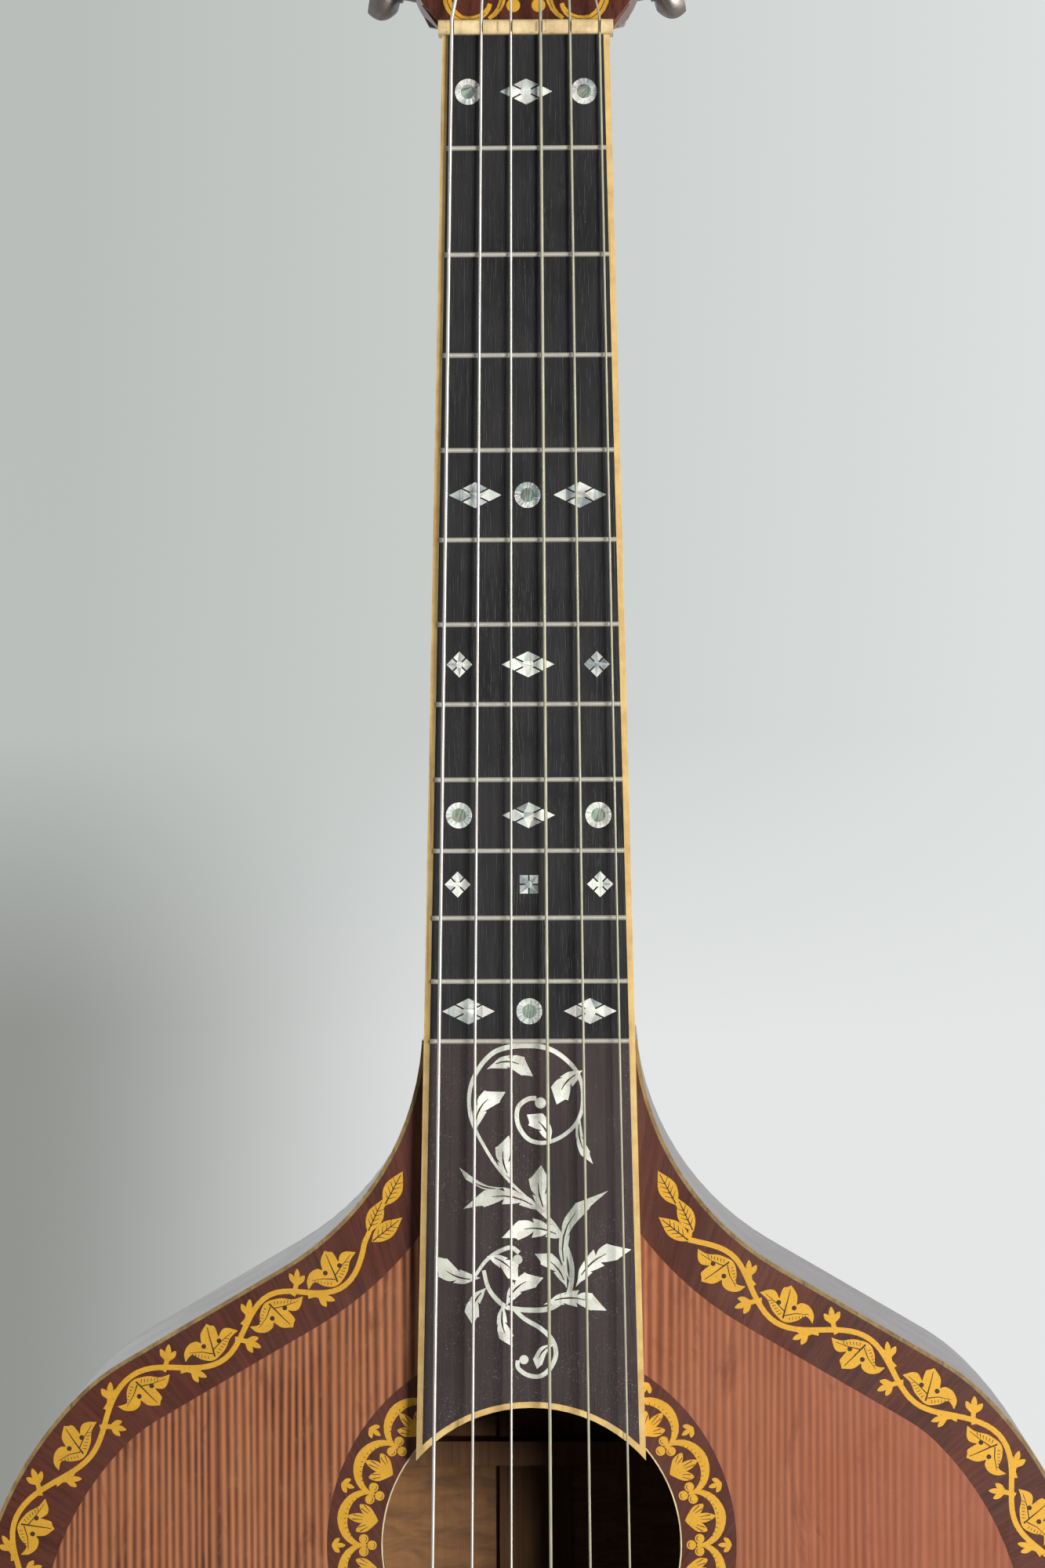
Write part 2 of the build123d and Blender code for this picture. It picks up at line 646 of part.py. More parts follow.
VINE_STEMS = [
    [
        (6, -374),
        (-5, -363),
        (-15, -350),
        (-18.6, -334),
        (-10, -321.5),
        (4, -320),
        (14.5, -327),
        (16.5, -338),
        (10, -348),
        (0, -349),
        (-3.5, -341),
        (2, -336),
    ],
    [(6, -374), (11.4, -382), (13, -390), (9, -400), (0, -402.4), (-9, -401), (-14, -392)],
    [(-14, -392), (-10, -384.5), (-5, -383), (-4, -386)],
    [(-2, -404), (6.8, -411.5), (7.5, -418), (1, -423.2), (-3.8, -420)],
]
VINE_LEAVES = [
    ((-6, -322), (0, -328), 4),
    ((12, -331), (9, -337), 4),
    ((-14, -341), (-8, -334), 4),
    ((15.5, -341), (19.5, -356), 3),
    ((-8, -357), (-6.5, -347), 3),
    ((4.5, -372), (-20, -366), 6),
    ((5.5, -372), (2, -357.5), 6),
    ((7, -376), (-8, -379), 5),
    ((11, -381), (24, -364.5), 4),
    ((-16, -389), (-30, -386), 6),
    ((-13, -396), (-4, -393), 4),
    ((-12, -397), (-18, -407), 4),
    ((-4, -402), (-6, -413), 4),
    ((0, -401), (4, -392.5), 4),
    ((8, -400), (23, -402), 5),
    ((12.5, -394), (31, -384), 6),
    ((12.5, -387), (2, -385), 4),
    ((7, -414), (2, -420), 3),
]
VINE_BALLS = [(2.6, -338), (-4.3, -386.4), (-2.6, -418.6)]

with BuildPart() as vine_inlay:
    with BuildSketch(BOARD_TOP_PLANE):
        for stem in VINE_STEMS:
            draw_stem(stem)
        for base, tip, width in VINE_LEAVES:
            draw_leaf(base, tip, width)
        with Locations(VINE_BALLS):
            Circle(1.5)
    extrude(amount=-INLAY_DEPTH)
keep(vine_inlay.part, "vine_inlay")

with BuildPart() as fretboard_extension:
    with BuildSketch(FACE):
        draw_board(EBONY_END, BOARD_LOW, BOARD_BINDING)
        with Locations((0, BOARD_END_Z)):
            Circle(BOARD_END_RADIUS + BOARD_BINDING, mode=Mode.SUBTRACT)
    extrude(amount=BOARD_THICKNESS)
    add(vine_inlay.part, mode=Mode.SUBTRACT)
keep(fretboard_extension.part, "fretboard_extension")

with BuildPart() as fretboard_binding:
    with BuildSketch(FACE):
        draw_board(0, BOARD_LOW, 0)
        with Locations((0, BOARD_END_Z)):
            Circle(BOARD_END_RADIUS + BOARD_BINDING, mode=Mode.SUBTRACT)
        with BuildSketch(mode=Mode.SUBTRACT):
            draw_board(0, BOARD_LOW, BOARD_BINDING)
    extrude(amount=BOARD_THICKNESS)
    with BuildSketch(FACE):
        with Locations((0, BOARD_END_Z)):
            Circle(BOARD_END_RADIUS + BOARD_BINDING)
            Circle(BOARD_END_RADIUS, mode=Mode.SUBTRACT)
        with BuildSketch(mode=Mode.INTERSECT):
            draw_board(0, BOARD_LOW, 0)
    extrude(amount=BOARD_THICKNESS)
keep(fretboard_binding.part, "fretboard_binding")

NUT_HEIGHT = 8.4
NUT_HALF = 27.6
NUT_SLOT_CLEARANCE = 0.1
with BuildPart() as nut:
    with BuildSketch(FACE):
        with Locations((0, NUT_LENGTH / 2)):
            Rectangle(2 * NUT_HALF, NUT_LENGTH)
    extrude(amount=NUT_HEIGHT)
    fillet(nut.edges().filter_by(Axis.X).group_by(Axis.Y)[0], radius=1.6)
    for n, radius in enumerate(STRING_RADII):
        with BuildSketch(Plane.XY.offset(-1)):
            with Locations((string_x(n, NUT_SPACING), -NUT_SLOT_HEIGHT - radius)):
                Circle(radius + NUT_SLOT_CLEARANCE)
                Rectangle(2 * (radius + NUT_SLOT_CLEARANCE), 3, align=(Align.CENTER, Align.MAX))
        extrude(amount=NUT_LENGTH + 2, mode=Mode.SUBTRACT)
keep(nut.part, "nut")

# ---- bridge ----

SADDLE_LENGTH = 76.0
SADDLE_WIDTH = 3.0
SADDLE_SEAT = 4.0
BRIDGE_Z = SADDLE_Z - 3.0

with BuildPart() as bridge:
    with BuildSketch(Plane.XY.offset(BRIDGE_Z)):
        with BuildLine() as half_profile:
            Polyline((0, 0), (BRIDGE_LENGTH / 2, 0), (BRIDGE_LENGTH / 2, -2.2))
            Spline(
                (BRIDGE_LENGTH / 2, -2.2),
                (BRIDGE_LENGTH / 2 - 14, -4.8),
                (46, -BRIDGE_HEIGHT),
                tangents=((-1, -0.4), (-1, 0)),
            )
            Line((46, -BRIDGE_HEIGHT), (0, -BRIDGE_HEIGHT))
            mirror(about=Plane.YZ)
        make_face()
    extrude(amount=BRIDGE_WIDTH / 2, both=True)
    with BuildSketch(FACE.offset(SADDLE_SEAT)):
        with Locations((0, SADDLE_Z)):
            Rectangle(SADDLE_LENGTH, SADDLE_WIDTH)
    extrude(amount=BRIDGE_HEIGHT, mode=Mode.SUBTRACT)
    with BuildSketch(FACE):
        with Locations([(string_x(n, SADDLE_SPACING), PIN_Z) for n in range(6)]):
            Circle(PIN_RADIUS)
    extrude(amount=BRIDGE_HEIGHT, mode=Mode.SUBTRACT)
keep(bridge.part, "bridge")

with BuildPart() as saddle:
    with BuildSketch(FACE.offset(SADDLE_SEAT)):
        with Locations((0, SADDLE_Z)):
            Rectangle(SADDLE_LENGTH, SADDLE_WIDTH)
    extrude(amount=SADDLE_HEIGHT - SADDLE_SEAT)
    fillet(saddle.edges().filter_by(Axis.X).group_by(Axis.Y)[0], radius=1.2)
keep(saddle.part, "saddle")

PIN_HEAD_RADIUS = 3.8
PIN_LENGTH = TOP_THICKNESS + PLATE_SIZE[2]
with BuildPart() as bridge_pins:
    for n in range(6):
        with BuildSketch(depth_plane(PIN_LENGTH)):
            with Locations((string_x(n, SADDLE_SPACING), PIN_Z)):
                Circle(PIN_RADIUS)
        extrude(amount=PIN_LENGTH + BRIDGE_HEIGHT)
        with BuildSketch(FACE.offset(BRIDGE_HEIGHT)):
            with Locations((string_x(n, SADDLE_SPACING), PIN_Z)):
                Circle(PIN_HEAD_RADIUS)
        extrude(amount=3.6)
    fillet(bridge_pins.edges().filter_by(GeomType.CIRCLE).group_by(Axis.Y)[0], radius=2.2)
keep(bridge_pins.part, "bridge_pins")

# ---- tuners ----

GEAR_PITCH_RADIUS = GEAR_TEETH * WORM_LEAD / (2 * pi)
WORM_OFFSET = GEAR_PITCH_RADIUS + WORM_PITCH_RADIUS
GEAR_TIP = GEAR_PITCH_RADIUS + 0.4
GEAR_ROOT = GEAR_PITCH_RADIUS - 0.8
GEAR_THICKNESS = 2.2
WORM_TIP = WORM_PITCH_RADIUS + 0.5
WORM_CORE = WORM_PITCH_RADIUS - 0.6
SHAFT_RADIUS = 1.5
PLATE_BACK = HEAD_THICKNESS + PLATE_THICKNESS
GEAR_MIDDLE = PLATE_BACK + 0.3 + WORM_TIP
GEAR_FRONT = GEAR_MIDDLE - GEAR_THICKNESS / 2
GEAR_BACK = GEAR_MIDDLE + GEAR_THICKNESS / 2
LUG_INNER = 5.2
LUG_THICKNESS = 2.0
LUG_OUTER = LUG_INNER + LUG_THICKNESS
BUTTON_START = 15.2
BUTTON_LENGTH = 9.0
BUTTON_SOCKET = 6.0
COLLAR_RADIUS = 2.6
COLLAR_LENGTH = 1.2
POST_TOP = 11.0
WINDING_LOW = 4.0
WINDING_HIGH = 8.4
WINDING_RADIUS = 4.0


def worm_plane(post, along):
    """Plane across a worm's shaft, this far out along it; its X points at the post's gear."""
    base = tuner_plane(GEAR_MIDDLE)
    origin = base.origin + base.y_dir * (post * POST_PITCH - WORM_OFFSET) + base.x_dir * along
    return Plane(origin=origin, x_dir=base.y_dir, z_dir=base.x_dir)


with BuildPart() as tuner_plate_right:
    with BuildSketch(tuner_plane(HEAD_THICKNESS)):
        with Locations((1.6, POST_PITCH - 1)):
            RectangleRounded(16.4, 2 * POST_PITCH + 34, 5)
        with Locations(POST_PLACES):
            Circle(POST_HOLE_RADIUS, mode=Mode.SUBTRACT)
        with Locations(SCREW_PLACES):
            Circle(SCREW_RADIUS, mode=Mode.SUBTRACT)
    extrude(amount=-PLATE_THICKNESS)
    for post in range(3):
        for side in (-LUG_OUTER, LUG_INNER):
            with BuildSketch(worm_plane(post, side)):
                Circle(2.6)
                with BuildLine():
                    Polyline(
                        (-2.6, 0), (2.6, 0), (2.6, GEAR_MIDDLE - PLATE_BACK), (-2.6, GEAR_MIDDLE - PLATE_BACK),
                        close=True,
                    )
                make_face()
                Circle(SHAFT_RADIUS + RUNNING_CLEARANCE, mode=Mode.SUBTRACT)
            extrude(amount=LUG_THICKNESS)
keep(tuner_plate_right.part, "tuner_plate_right")

with BuildPart() as tuner_plate_left:
    mirror(tuner_plate_right.part, about=Plane.YZ)
keep(tuner_plate_left.part, "tuner_plate_left")

with BuildPart() as plate_screws:
    with BuildSketch(tuner_plane(PLATE_BACK)):
        with Locations(SCREW_PLACES):
            Circle(SCREW_RADIUS)
    extrude(amount=SCREW_LENGTH + PLATE_THICKNESS)
    with BuildSketch(tuner_plane(PLATE_BACK)):
        with Locations(SCREW_PLACES):
            Circle(2.0)
    extrude(amount=-1.1)
keep(both_sides(plate_screws.part), "plate_screws")

with BuildPart() as bushings:
    with BuildSketch(tuner_plane(-VENEER_THICKNESS)):
        with Locations(POST_PLACES):
            Circle(BUSHING_RADIUS)
    extrude(amount=-VENEER_THICKNESS - BUSHING_DEPTH)
    with BuildSketch(tuner_plane(-VENEER_THICKNESS)):
        with Locations(POST_PLACES):
            Circle(BUSHING_FLANGE)
    extrude(amount=0.9)
    with BuildSketch(tuner_plane(BUSHING_DEPTH)):
        with Locations(POST_PLACES):
            Circle(POST_HOLE_RADIUS)
    extrude(amount=BUSHING_DEPTH + 2 * VENEER_THICKNESS, mode=Mode.SUBTRACT)
keep(both_sides(bushings.part), "post_bushings")


def string_post(post):
    """Post with its gear, and the screw that holds the gear, as two solids."""
    axis_plane = tuner_plane(GEAR_BACK)
    place = (0, post * POST_PITCH)
    with BuildPart() as shaft:
        with BuildSketch(axis_plane):
            with Locations(place):
                Circle(POST_RADIUS)
        extrude(amount=GEAR_BACK + VENEER_THICKNESS + POST_TOP)
        fillet(shaft.edges().filter_by(GeomType.CIRCLE).sort_by(Axis.Y)[0], radius=0.8)
        with BuildSketch(tuner_plane(-VENEER_THICKNESS - WINDING_LOW)):
            with Locations(place):
                Circle(WINDING_RADIUS)
        extrude(amount=WINDING_HIGH - WINDING_LOW)
        with BuildSketch(axis_plane):
            with Locations(place):
                Circle(GEAR_ROOT)
                with PolarLocations(0, GEAR_TEETH, start_angle=-90):
                    Polygon(
                        (GEAR_ROOT - 0.3, 0.62),
                        (GEAR_ROOT - 0.3, -0.62),
                        (GEAR_TIP, -0.34),
                        (GEAR_TIP, 0.34),
                        align=None,
                    )
        extrude(amount=GEAR_THICKNESS)
    with BuildPart() as screw:
        with BuildSketch(axis_plane):
            with Locations(place):
                Circle(2.3)
        extrude(amount=-1.4)
        with BuildSketch(axis_plane.offset(-1.4)):
            with Locations(place):
                Rectangle(5, 0.6)
        extrude(amount=0.7, mode=Mode.SUBTRACT)
    return [shaft.part, screw.part]


WORM_HALF = WORM_TURNS * WORM_LEAD / 2
with BuildPart() as thread:
    with BuildLine():
        helix = Helix(WORM_LEAD, WORM_TURNS * WORM_LEAD, WORM_PITCH_RADIUS)
    with BuildSketch(Plane(origin=helix @ 0, x_dir=(1, 0, 0), z_dir=helix % 0)):
        Polygon((-0.8, 0.6), (-0.8, -0.6), (0.5, -0.3), (0.5, 0.3), align=None)
    sweep(path=helix, is_frenet=True)


def worm_shaft(post):
    """Button shaft with its worm, running in the plate's two lugs."""
    end_gap = 0.3
    with BuildPart() as shaft:
        with BuildSketch(worm_plane(post, -LUG_OUTER - 2 * end_gap)):
            Circle(SHAFT_RADIUS)
        extrude(amount=LUG_OUTER + 2 * end_gap + BUTTON_START + BUTTON_SOCKET)
        with BuildSketch(worm_plane(post, end_gap - LUG_INNER)):
            Circle(WORM_CORE)
        extrude(amount=2 * (LUG_INNER - end_gap))
        with BuildSketch(worm_plane(post, BUTTON_START - COLLAR_LENGTH)):
            Circle(COLLAR_RADIUS)
        extrude(amount=COLLAR_LENGTH)
        with Locations(worm_plane(post, -WORM_HALF)):
            add(thread.part)
    return shaft.part


def oval_button(post):
    """Pressed oval button on the end of a worm's shaft."""
    with BuildPart() as button:
        with BuildSketch(worm_plane(post, BUTTON_START)):
            Ellipse(6.0, 4.4)
        with BuildSketch(worm_plane(post, BUTTON_START + BUTTON_LENGTH / 2)):
            Ellipse(9.5, 6.2)
        with BuildSketch(worm_plane(post, BUTTON_START + BUTTON_LENGTH)):
            Ellipse(8.0, 4.6)
        loft()
        with BuildSketch(worm_plane(post, BUTTON_START)):
            Circle(SHAFT_RADIUS)
        extrude(amount=BUTTON_SOCKET, mode=Mode.SUBTRACT)
    return button.part


for post in range(3):
    worm, button = worm_shaft(post), oval_button(post)
    post_solids = string_post(post)
    for side in ("right", "left"):
        name = f"{side}_{post + 1}"
        if side == "left":
            worm = mirror(worm, about=Plane.YZ)
            button = mirror(button, about=Plane.YZ)
            post_solids = [mirror(solid, about=Plane.YZ) for solid in post_solids]
        keep(Compound(children=[worm, button]), f"tuner_button_{name}")
        keep(Compound(children=post_solids), f"string_post_{name}")

# ---- strings ----

STRING_BEND = 1.5
STRING_LIFT = 0.22
SADDLE_CREST = 0.6


def string_path(number):
    """Points of one string: beside its post, over the nut, over the saddle, and in front of its pin."""
    side = -1 if number < 3 else 1
    post = number if number < 3 else 5 - number
    radius = STRING_RADII[number]
    lean = radians(POST_LEAN)
    away = WINDING_RADIUS + 0.15 + radius
    across = FIRST_POST[0] - post * POST_PITCH * sin(lean) - away
    along = FIRST_POST[1] + post * POST_PITCH * cos(lean)
    lift = VENEER_THICKNESS + (WINDING_LOW + WINDING_HIGH) / 2
    at_post = HEAD.origin + HEAD.x_dir * across * side + HEAD_UP * along + HEAD.z_dir * lift
    nut_height = -NUT_SLOT_HEIGHT - radius
    saddle_height = -SADDLE_HEIGHT - radius - STRING_LIFT
    pin_x = string_x(number, SADDLE_SPACING)
    return [
        at_post,
        Vector(string_x(number, NUT_SPACING), nut_height, NUT_LENGTH + 0.4),
        Vector(pin_x, saddle_height, SADDLE_Z - SADDLE_CREST),
        Vector(pin_x, -BRIDGE_HEIGHT - radius - 0.2, PIN_Z + PIN_HEAD_RADIUS + radius + 0.3),
    ]


for number, radius in enumerate(STRING_RADII):
    with BuildPart() as string:
        with BuildLine() as path:
            FilletPolyline(*string_path(number), radius=STRING_BEND)
        with BuildSketch(Plane(origin=path.wire() @ 0, z_dir=path.wire() % 0)):
            Circle(radius)
        sweep(path=path.wire())
    keep(string.part, f"string_{6 - number}")
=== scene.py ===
"""Builds the looks of a pear-shaped lute-guitar around its packed CAD frame."""

import json
import math

import bmesh
import bpy
from bpy.props import FloatProperty, FloatVectorProperty, IntProperty, PointerProperty
from bpy.types import Operator, Panel, PropertyGroup
from mathutils import Matrix, Vector


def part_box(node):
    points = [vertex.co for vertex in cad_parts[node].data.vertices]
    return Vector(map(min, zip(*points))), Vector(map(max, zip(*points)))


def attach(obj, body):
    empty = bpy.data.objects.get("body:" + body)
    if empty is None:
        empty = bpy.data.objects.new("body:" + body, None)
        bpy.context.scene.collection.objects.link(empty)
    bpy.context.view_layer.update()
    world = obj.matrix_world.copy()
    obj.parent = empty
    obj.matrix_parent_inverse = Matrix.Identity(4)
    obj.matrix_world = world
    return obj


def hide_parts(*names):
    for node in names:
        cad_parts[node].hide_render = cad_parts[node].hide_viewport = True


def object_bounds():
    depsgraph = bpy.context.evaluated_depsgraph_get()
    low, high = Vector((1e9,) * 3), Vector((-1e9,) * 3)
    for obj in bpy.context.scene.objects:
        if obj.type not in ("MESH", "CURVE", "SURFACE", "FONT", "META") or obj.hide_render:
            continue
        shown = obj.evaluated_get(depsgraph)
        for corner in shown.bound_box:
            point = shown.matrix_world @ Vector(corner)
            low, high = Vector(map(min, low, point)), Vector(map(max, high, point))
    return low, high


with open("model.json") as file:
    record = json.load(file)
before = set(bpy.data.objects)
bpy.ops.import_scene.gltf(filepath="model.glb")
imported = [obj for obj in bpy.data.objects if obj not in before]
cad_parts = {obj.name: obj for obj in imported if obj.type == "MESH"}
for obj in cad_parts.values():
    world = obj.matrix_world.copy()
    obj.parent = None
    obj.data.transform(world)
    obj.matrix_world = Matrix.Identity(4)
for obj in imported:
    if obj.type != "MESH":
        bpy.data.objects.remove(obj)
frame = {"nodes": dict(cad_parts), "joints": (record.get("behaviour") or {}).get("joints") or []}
CAD_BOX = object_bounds()
NODES = frame["nodes"]

bl_info = {
    "name": "Lute-guitar looks",
    "version": (1, 0, 0),
    "blender": (4, 5, 0),
    "location": "View3D > Sidebar > Lute-guitar",
    "description": "Strings, tuners, pearl vine, gilding and finishes on a packed lute-guitar",
    "category": "Object",
}

MM = 0.001
# Dark lines lie this far over the gold or pearl, in millimetres.
INK_LIFT = 0.028
FACE_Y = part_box("soundboard")[0].y
BOARD_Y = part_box("fretboard")[0].y
INNER_BACK_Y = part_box("back")[0].y
# How far the varnish of the top goes in from its face, and the bare wood of the back from its inner face.
FACE_SKIN = 0.0006
INNER_SKIN = 0.0004
# Height of the lower body's middle below the nut, where the grain of the edge strip fans out from.
BODY_MIDDLE = 0.56
HOLE = (0.0, (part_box("rosette_ring")[0].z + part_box("rosette_ring")[1].z) / 2)

# The right edge of the face from the neck to the tail, in millimetres: where it starts, how far it leans
# out from straight down, and its runs as (radius, turn in degrees), or (length, 0) where it is straight.
EDGE_START = (34.2, -318.5)
EDGE_HEADING = 4.4
EDGE_RUNS = ((90, 55.4), (59.2, 0), (68, -14.8), (118, -27), (230, -18), (260.26, -29.9), (172, -60.1))
# Radius of each string in millimetres, numbered from the treble side.
STRING_RADII = {1: 0.36, 2: 0.42, 3: 0.52, 4: 0.38, 5: 0.45, 6: 0.55}


# ---- settings ----


class WoodSettings(PropertyGroup):
    """Colours of the woods"""

    spruce_light: FloatVectorProperty(
        name="Spruce, light", description="Soft wood between the rings of the top",
        subtype="COLOR", size=3, default=(0.43, 0.170, 0.076),
    )
    spruce_dark: FloatVectorProperty(
        name="Spruce, dark", description="Hard rings of the top",
        subtype="COLOR", size=3, default=(0.058, 0.0135, 0.0075),
    )
    spruce_inside: FloatVectorProperty(
        name="Spruce, bare", description="Braces and linings inside the body",
        subtype="COLOR", size=3, default=(0.20, 0.095, 0.040),
    )
    rosewood_light: FloatVectorProperty(
        name="Rosewood, light", description="Lighter streaks of the rosewood",
        subtype="COLOR", size=3, default=(0.115, 0.031, 0.018),
    )
    rosewood_dark: FloatVectorProperty(
        name="Rosewood, dark", description="Darker streaks of the rosewood",
        subtype="COLOR", size=3, default=(0.030, 0.0095, 0.0065),
    )
    mahogany: FloatVectorProperty(
        name="Mahogany", description="Neck and blocks",
        subtype="COLOR", size=3, default=(0.15, 0.050, 0.022),
    )
    ebony: FloatVectorProperty(
        name="Ebony", description="Fretboard, bridge and heel cap",
        subtype="COLOR", size=3, default=(0.0065, 0.0065, 0.0075),
    )
    figured: FloatVectorProperty(
        name="Figured wood", description="Bare flamed wood on the inside of the back",
        subtype="COLOR", size=3, default=(0.34, 0.155, 0.052),
    )


class TrimSettings(PropertyGroup):
    """Colours of the trim"""

    gilt: FloatVectorProperty(
        name="Gilding", description="Gold paint of the vine and rosette",
        subtype="COLOR", size=3, default=(0.68, 0.365, 0.030),
    )
    pearl: FloatVectorProperty(
        name="Pearl", description="Mother-of-pearl, at its brightest",
        subtype="COLOR", size=3, default=(0.86, 0.88, 0.82),
    )
    celluloid: FloatVectorProperty(
        name="Binding", description="Aged cream binding",
        subtype="COLOR", size=3, default=(0.66, 0.48, 0.20),
    )
    bone: FloatVectorProperty(
        name="Bone", description="Nut, saddle and pins",
        subtype="COLOR", size=3, default=(0.74, 0.60, 0.34),
    )
    button: FloatVectorProperty(
        name="Buttons", description="Aged celluloid of the tuner buttons",
        subtype="COLOR", size=3, default=(0.20, 0.060, 0.042),
    )
    gut: FloatVectorProperty(
        name="Gut", description="Plain treble strings",
        subtype="COLOR", size=3, default=(0.50, 0.50, 0.36),
    )
    nickel: FloatVectorProperty(
        name="Nickel", description="Frets and tuner plates",
        subtype="COLOR", size=3, default=(0.66, 0.63, 0.55),
    )


class GildingSettings(PropertyGroup):
    """Sizes of the gilded vine, in millimetres"""

    border_inset: FloatProperty(
        name="Border middle", description="From the edge to the middle of the border", default=11.45
    )
    swing_middle: FloatProperty(
        name="Stem middle", description="From the edge to the middle of the stem's swing", default=10.6
    )
    swing: FloatProperty(name="Stem swing", description="How far the stem swings each way", default=5.2)
    stem_width: FloatProperty(name="Stem width", description="Width of the painted stem", default=1.7)
    leaf_gap: FloatProperty(name="Leaf gap", description="From leaf to leaf along the border", default=25.6)
    thickness: FloatProperty(name="Paint", description="Thickness of the gold paint", default=0.04)
    rosette_units: IntProperty(name="Rosette units", description="Crescents round the hole", default=20)


class StringSettings(PropertyGroup):
    """Sizes of the windings on the posts, in millimetres"""

    winding_radius: FloatProperty(name="Drum", description="Radius of the drum on a post", default=4.0)
    winding_length: FloatProperty(name="Winding", description="Length of the drum on a post", default=4.4)


class StageSettings(PropertyGroup):
    """Floor, backdrop, lights and camera"""

    floor_gap: FloatProperty(name="Floor gap", description="Below the object", default=0.02, unit="LENGTH")
    distance: FloatProperty(name="Distance", description="Camera to the strings", default=1.5, unit="LENGTH")
    azimuth: FloatProperty(
        name="Azimuth", description="Camera turned to the right", default=math.radians(1.0), subtype="ANGLE"
    )
    elevation: FloatProperty(
        name="Elevation", description="Camera above the horizon", default=0.0, subtype="ANGLE"
    )
    roll: FloatProperty(
        name="Roll", description="Camera turned about its own line of sight", default=math.radians(-0.212),
        subtype="ANGLE",
    )
    aim_x: FloatProperty(name="Aim across", description="Middle of the view", default=-0.0019, unit="LENGTH")
    aim_z: FloatProperty(name="Aim height", description="Middle of the view", default=-0.23635, unit="LENGTH")
    view_height: FloatProperty(
        name="View height", description="Height of the view at the strings", default=0.4948, unit="LENGTH"
    )
    key_power: FloatProperty(name="Key", description="Power of the key light", default=62.0, unit="POWER")
    room_light: FloatProperty(name="Room", description="Strength of the light from the sides", default=0.5)


SETTINGS = {
    "lute_woods": WoodSettings,
    "lute_trim": TrimSettings,
    "lute_gilding": GildingSettings,
    "lute_strings": StringSettings,
    "lute_stage": StageSettings,
}


# ---- outlines ----


def hermite(start, leave, end, arrive, share):
    """Point on a smooth run between two places with these directions."""
    s2, s3 = share * share, share * share * share
    return (
        start * (2 * s3 - 3 * s2 + 1) + leave * (s3 - 2 * s2 + share)
        + end * (3 * s2 - 2 * s3) + arrive * (s3 - s2)
    )


def smooth_line(points, steps=6):
    """Points along a smooth open line through these."""
    path = [Vector(p) for p in points]
    path = [path[0] * 2 - path[1], *path, path[-1] * 2 - path[-2]]
    line = []
    for before, start, end, after in zip(path, path[1:], path[2:], path[3:]):
        for step in range(steps):
            line.append(hermite(start, (end - before) / 2, end, (after - start) / 2, step / steps))
    return [*line, path[-2]]


def smooth_outline(points, steps=5):
    """Points round a closed outline through these; one with a third value is a sharp corner."""
    places = [Vector(p[:2]) for p in points]
    sharp = [len(p) > 2 for p in points]
    count = len(points)
    line = []
    for i, here in enumerate(places):
        j = (i + 1) % count
        there = places[j]
        leave = there - here if sharp[i] else (there - places[i - 1]) / 2
        arrive = there - here if sharp[j] else (places[(i + 2) % count] - here) / 2
        line += [hermite(here, leave, there, arrive, step / steps) for step in range(steps)]
    return line


def full_turn(count):
    """The angles of equal steps once round."""
    return [2 * math.pi * k / count for k in range(count)]


def circle(centre, radius, count=20):
    """Points round a circle."""
    return [Vector(centre) + Vector((math.cos(a), math.sin(a))) * radius for a in full_turn(count)]


def turned(points, angle, origin=(0, 0)):
    """Points turned about an origin, by degrees, and then moved to it."""
    turn = Matrix.Rotation(math.radians(angle), 2)
    return [turn @ Vector(p[:2]) + Vector(origin) for p in points]


def line_sides(points, widths):
    """The two sides of a stroke along these points, whose width runs through these widths."""
    left, right = [], []
    last = len(points) - 1
    for i, point in enumerate(points):
        ahead = points[min(i + 1, last)] - points[max(i - 1, 0)]
        place = i / last * (len(widths) - 1)
        low = min(int(place), len(widths) - 2)
        width = widths[low] + (widths[low + 1] - widths[low]) * (place - low)
        across = Vector((-ahead.y, ahead.x)).normalized() * width / 2
        left.append(point + across)
        right.append(point - across)
    return left, right


# ---- meshes ----


# Edges sharper than this stay crisp, in degrees, and a limit that leaves none crisp.
SHARP_EDGE = 32
ALL_SMOOTH = 180


def linked(name, data):
    """A new object with this data, linked to the scene."""
    made = bpy.data.objects.new(name, data)
    bpy.context.scene.collection.objects.link(made)
    return made


def finish_object(name, mesh, finish, body, sharp_from=None):
    """Link a finished mesh as a piece on a body, flat, or smooth up to edges of this many degrees."""
    bmesh.ops.recalc_face_normals(mesh, faces=mesh.faces)
    mesh.normal_update()
    if sharp_from:
        limit = math.radians(sharp_from)
        for face in mesh.faces:
            face.smooth = True
        for edge in mesh.edges:
            edge.smooth = len(edge.link_faces) == 2 and edge.calc_face_angle() <= limit
    data = bpy.data.meshes.new(name)
    mesh.to_mesh(data)
    mesh.free()
    data.materials.append(finish_for(finish))
    piece = linked(name, data)
    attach(piece, body)
    return piece


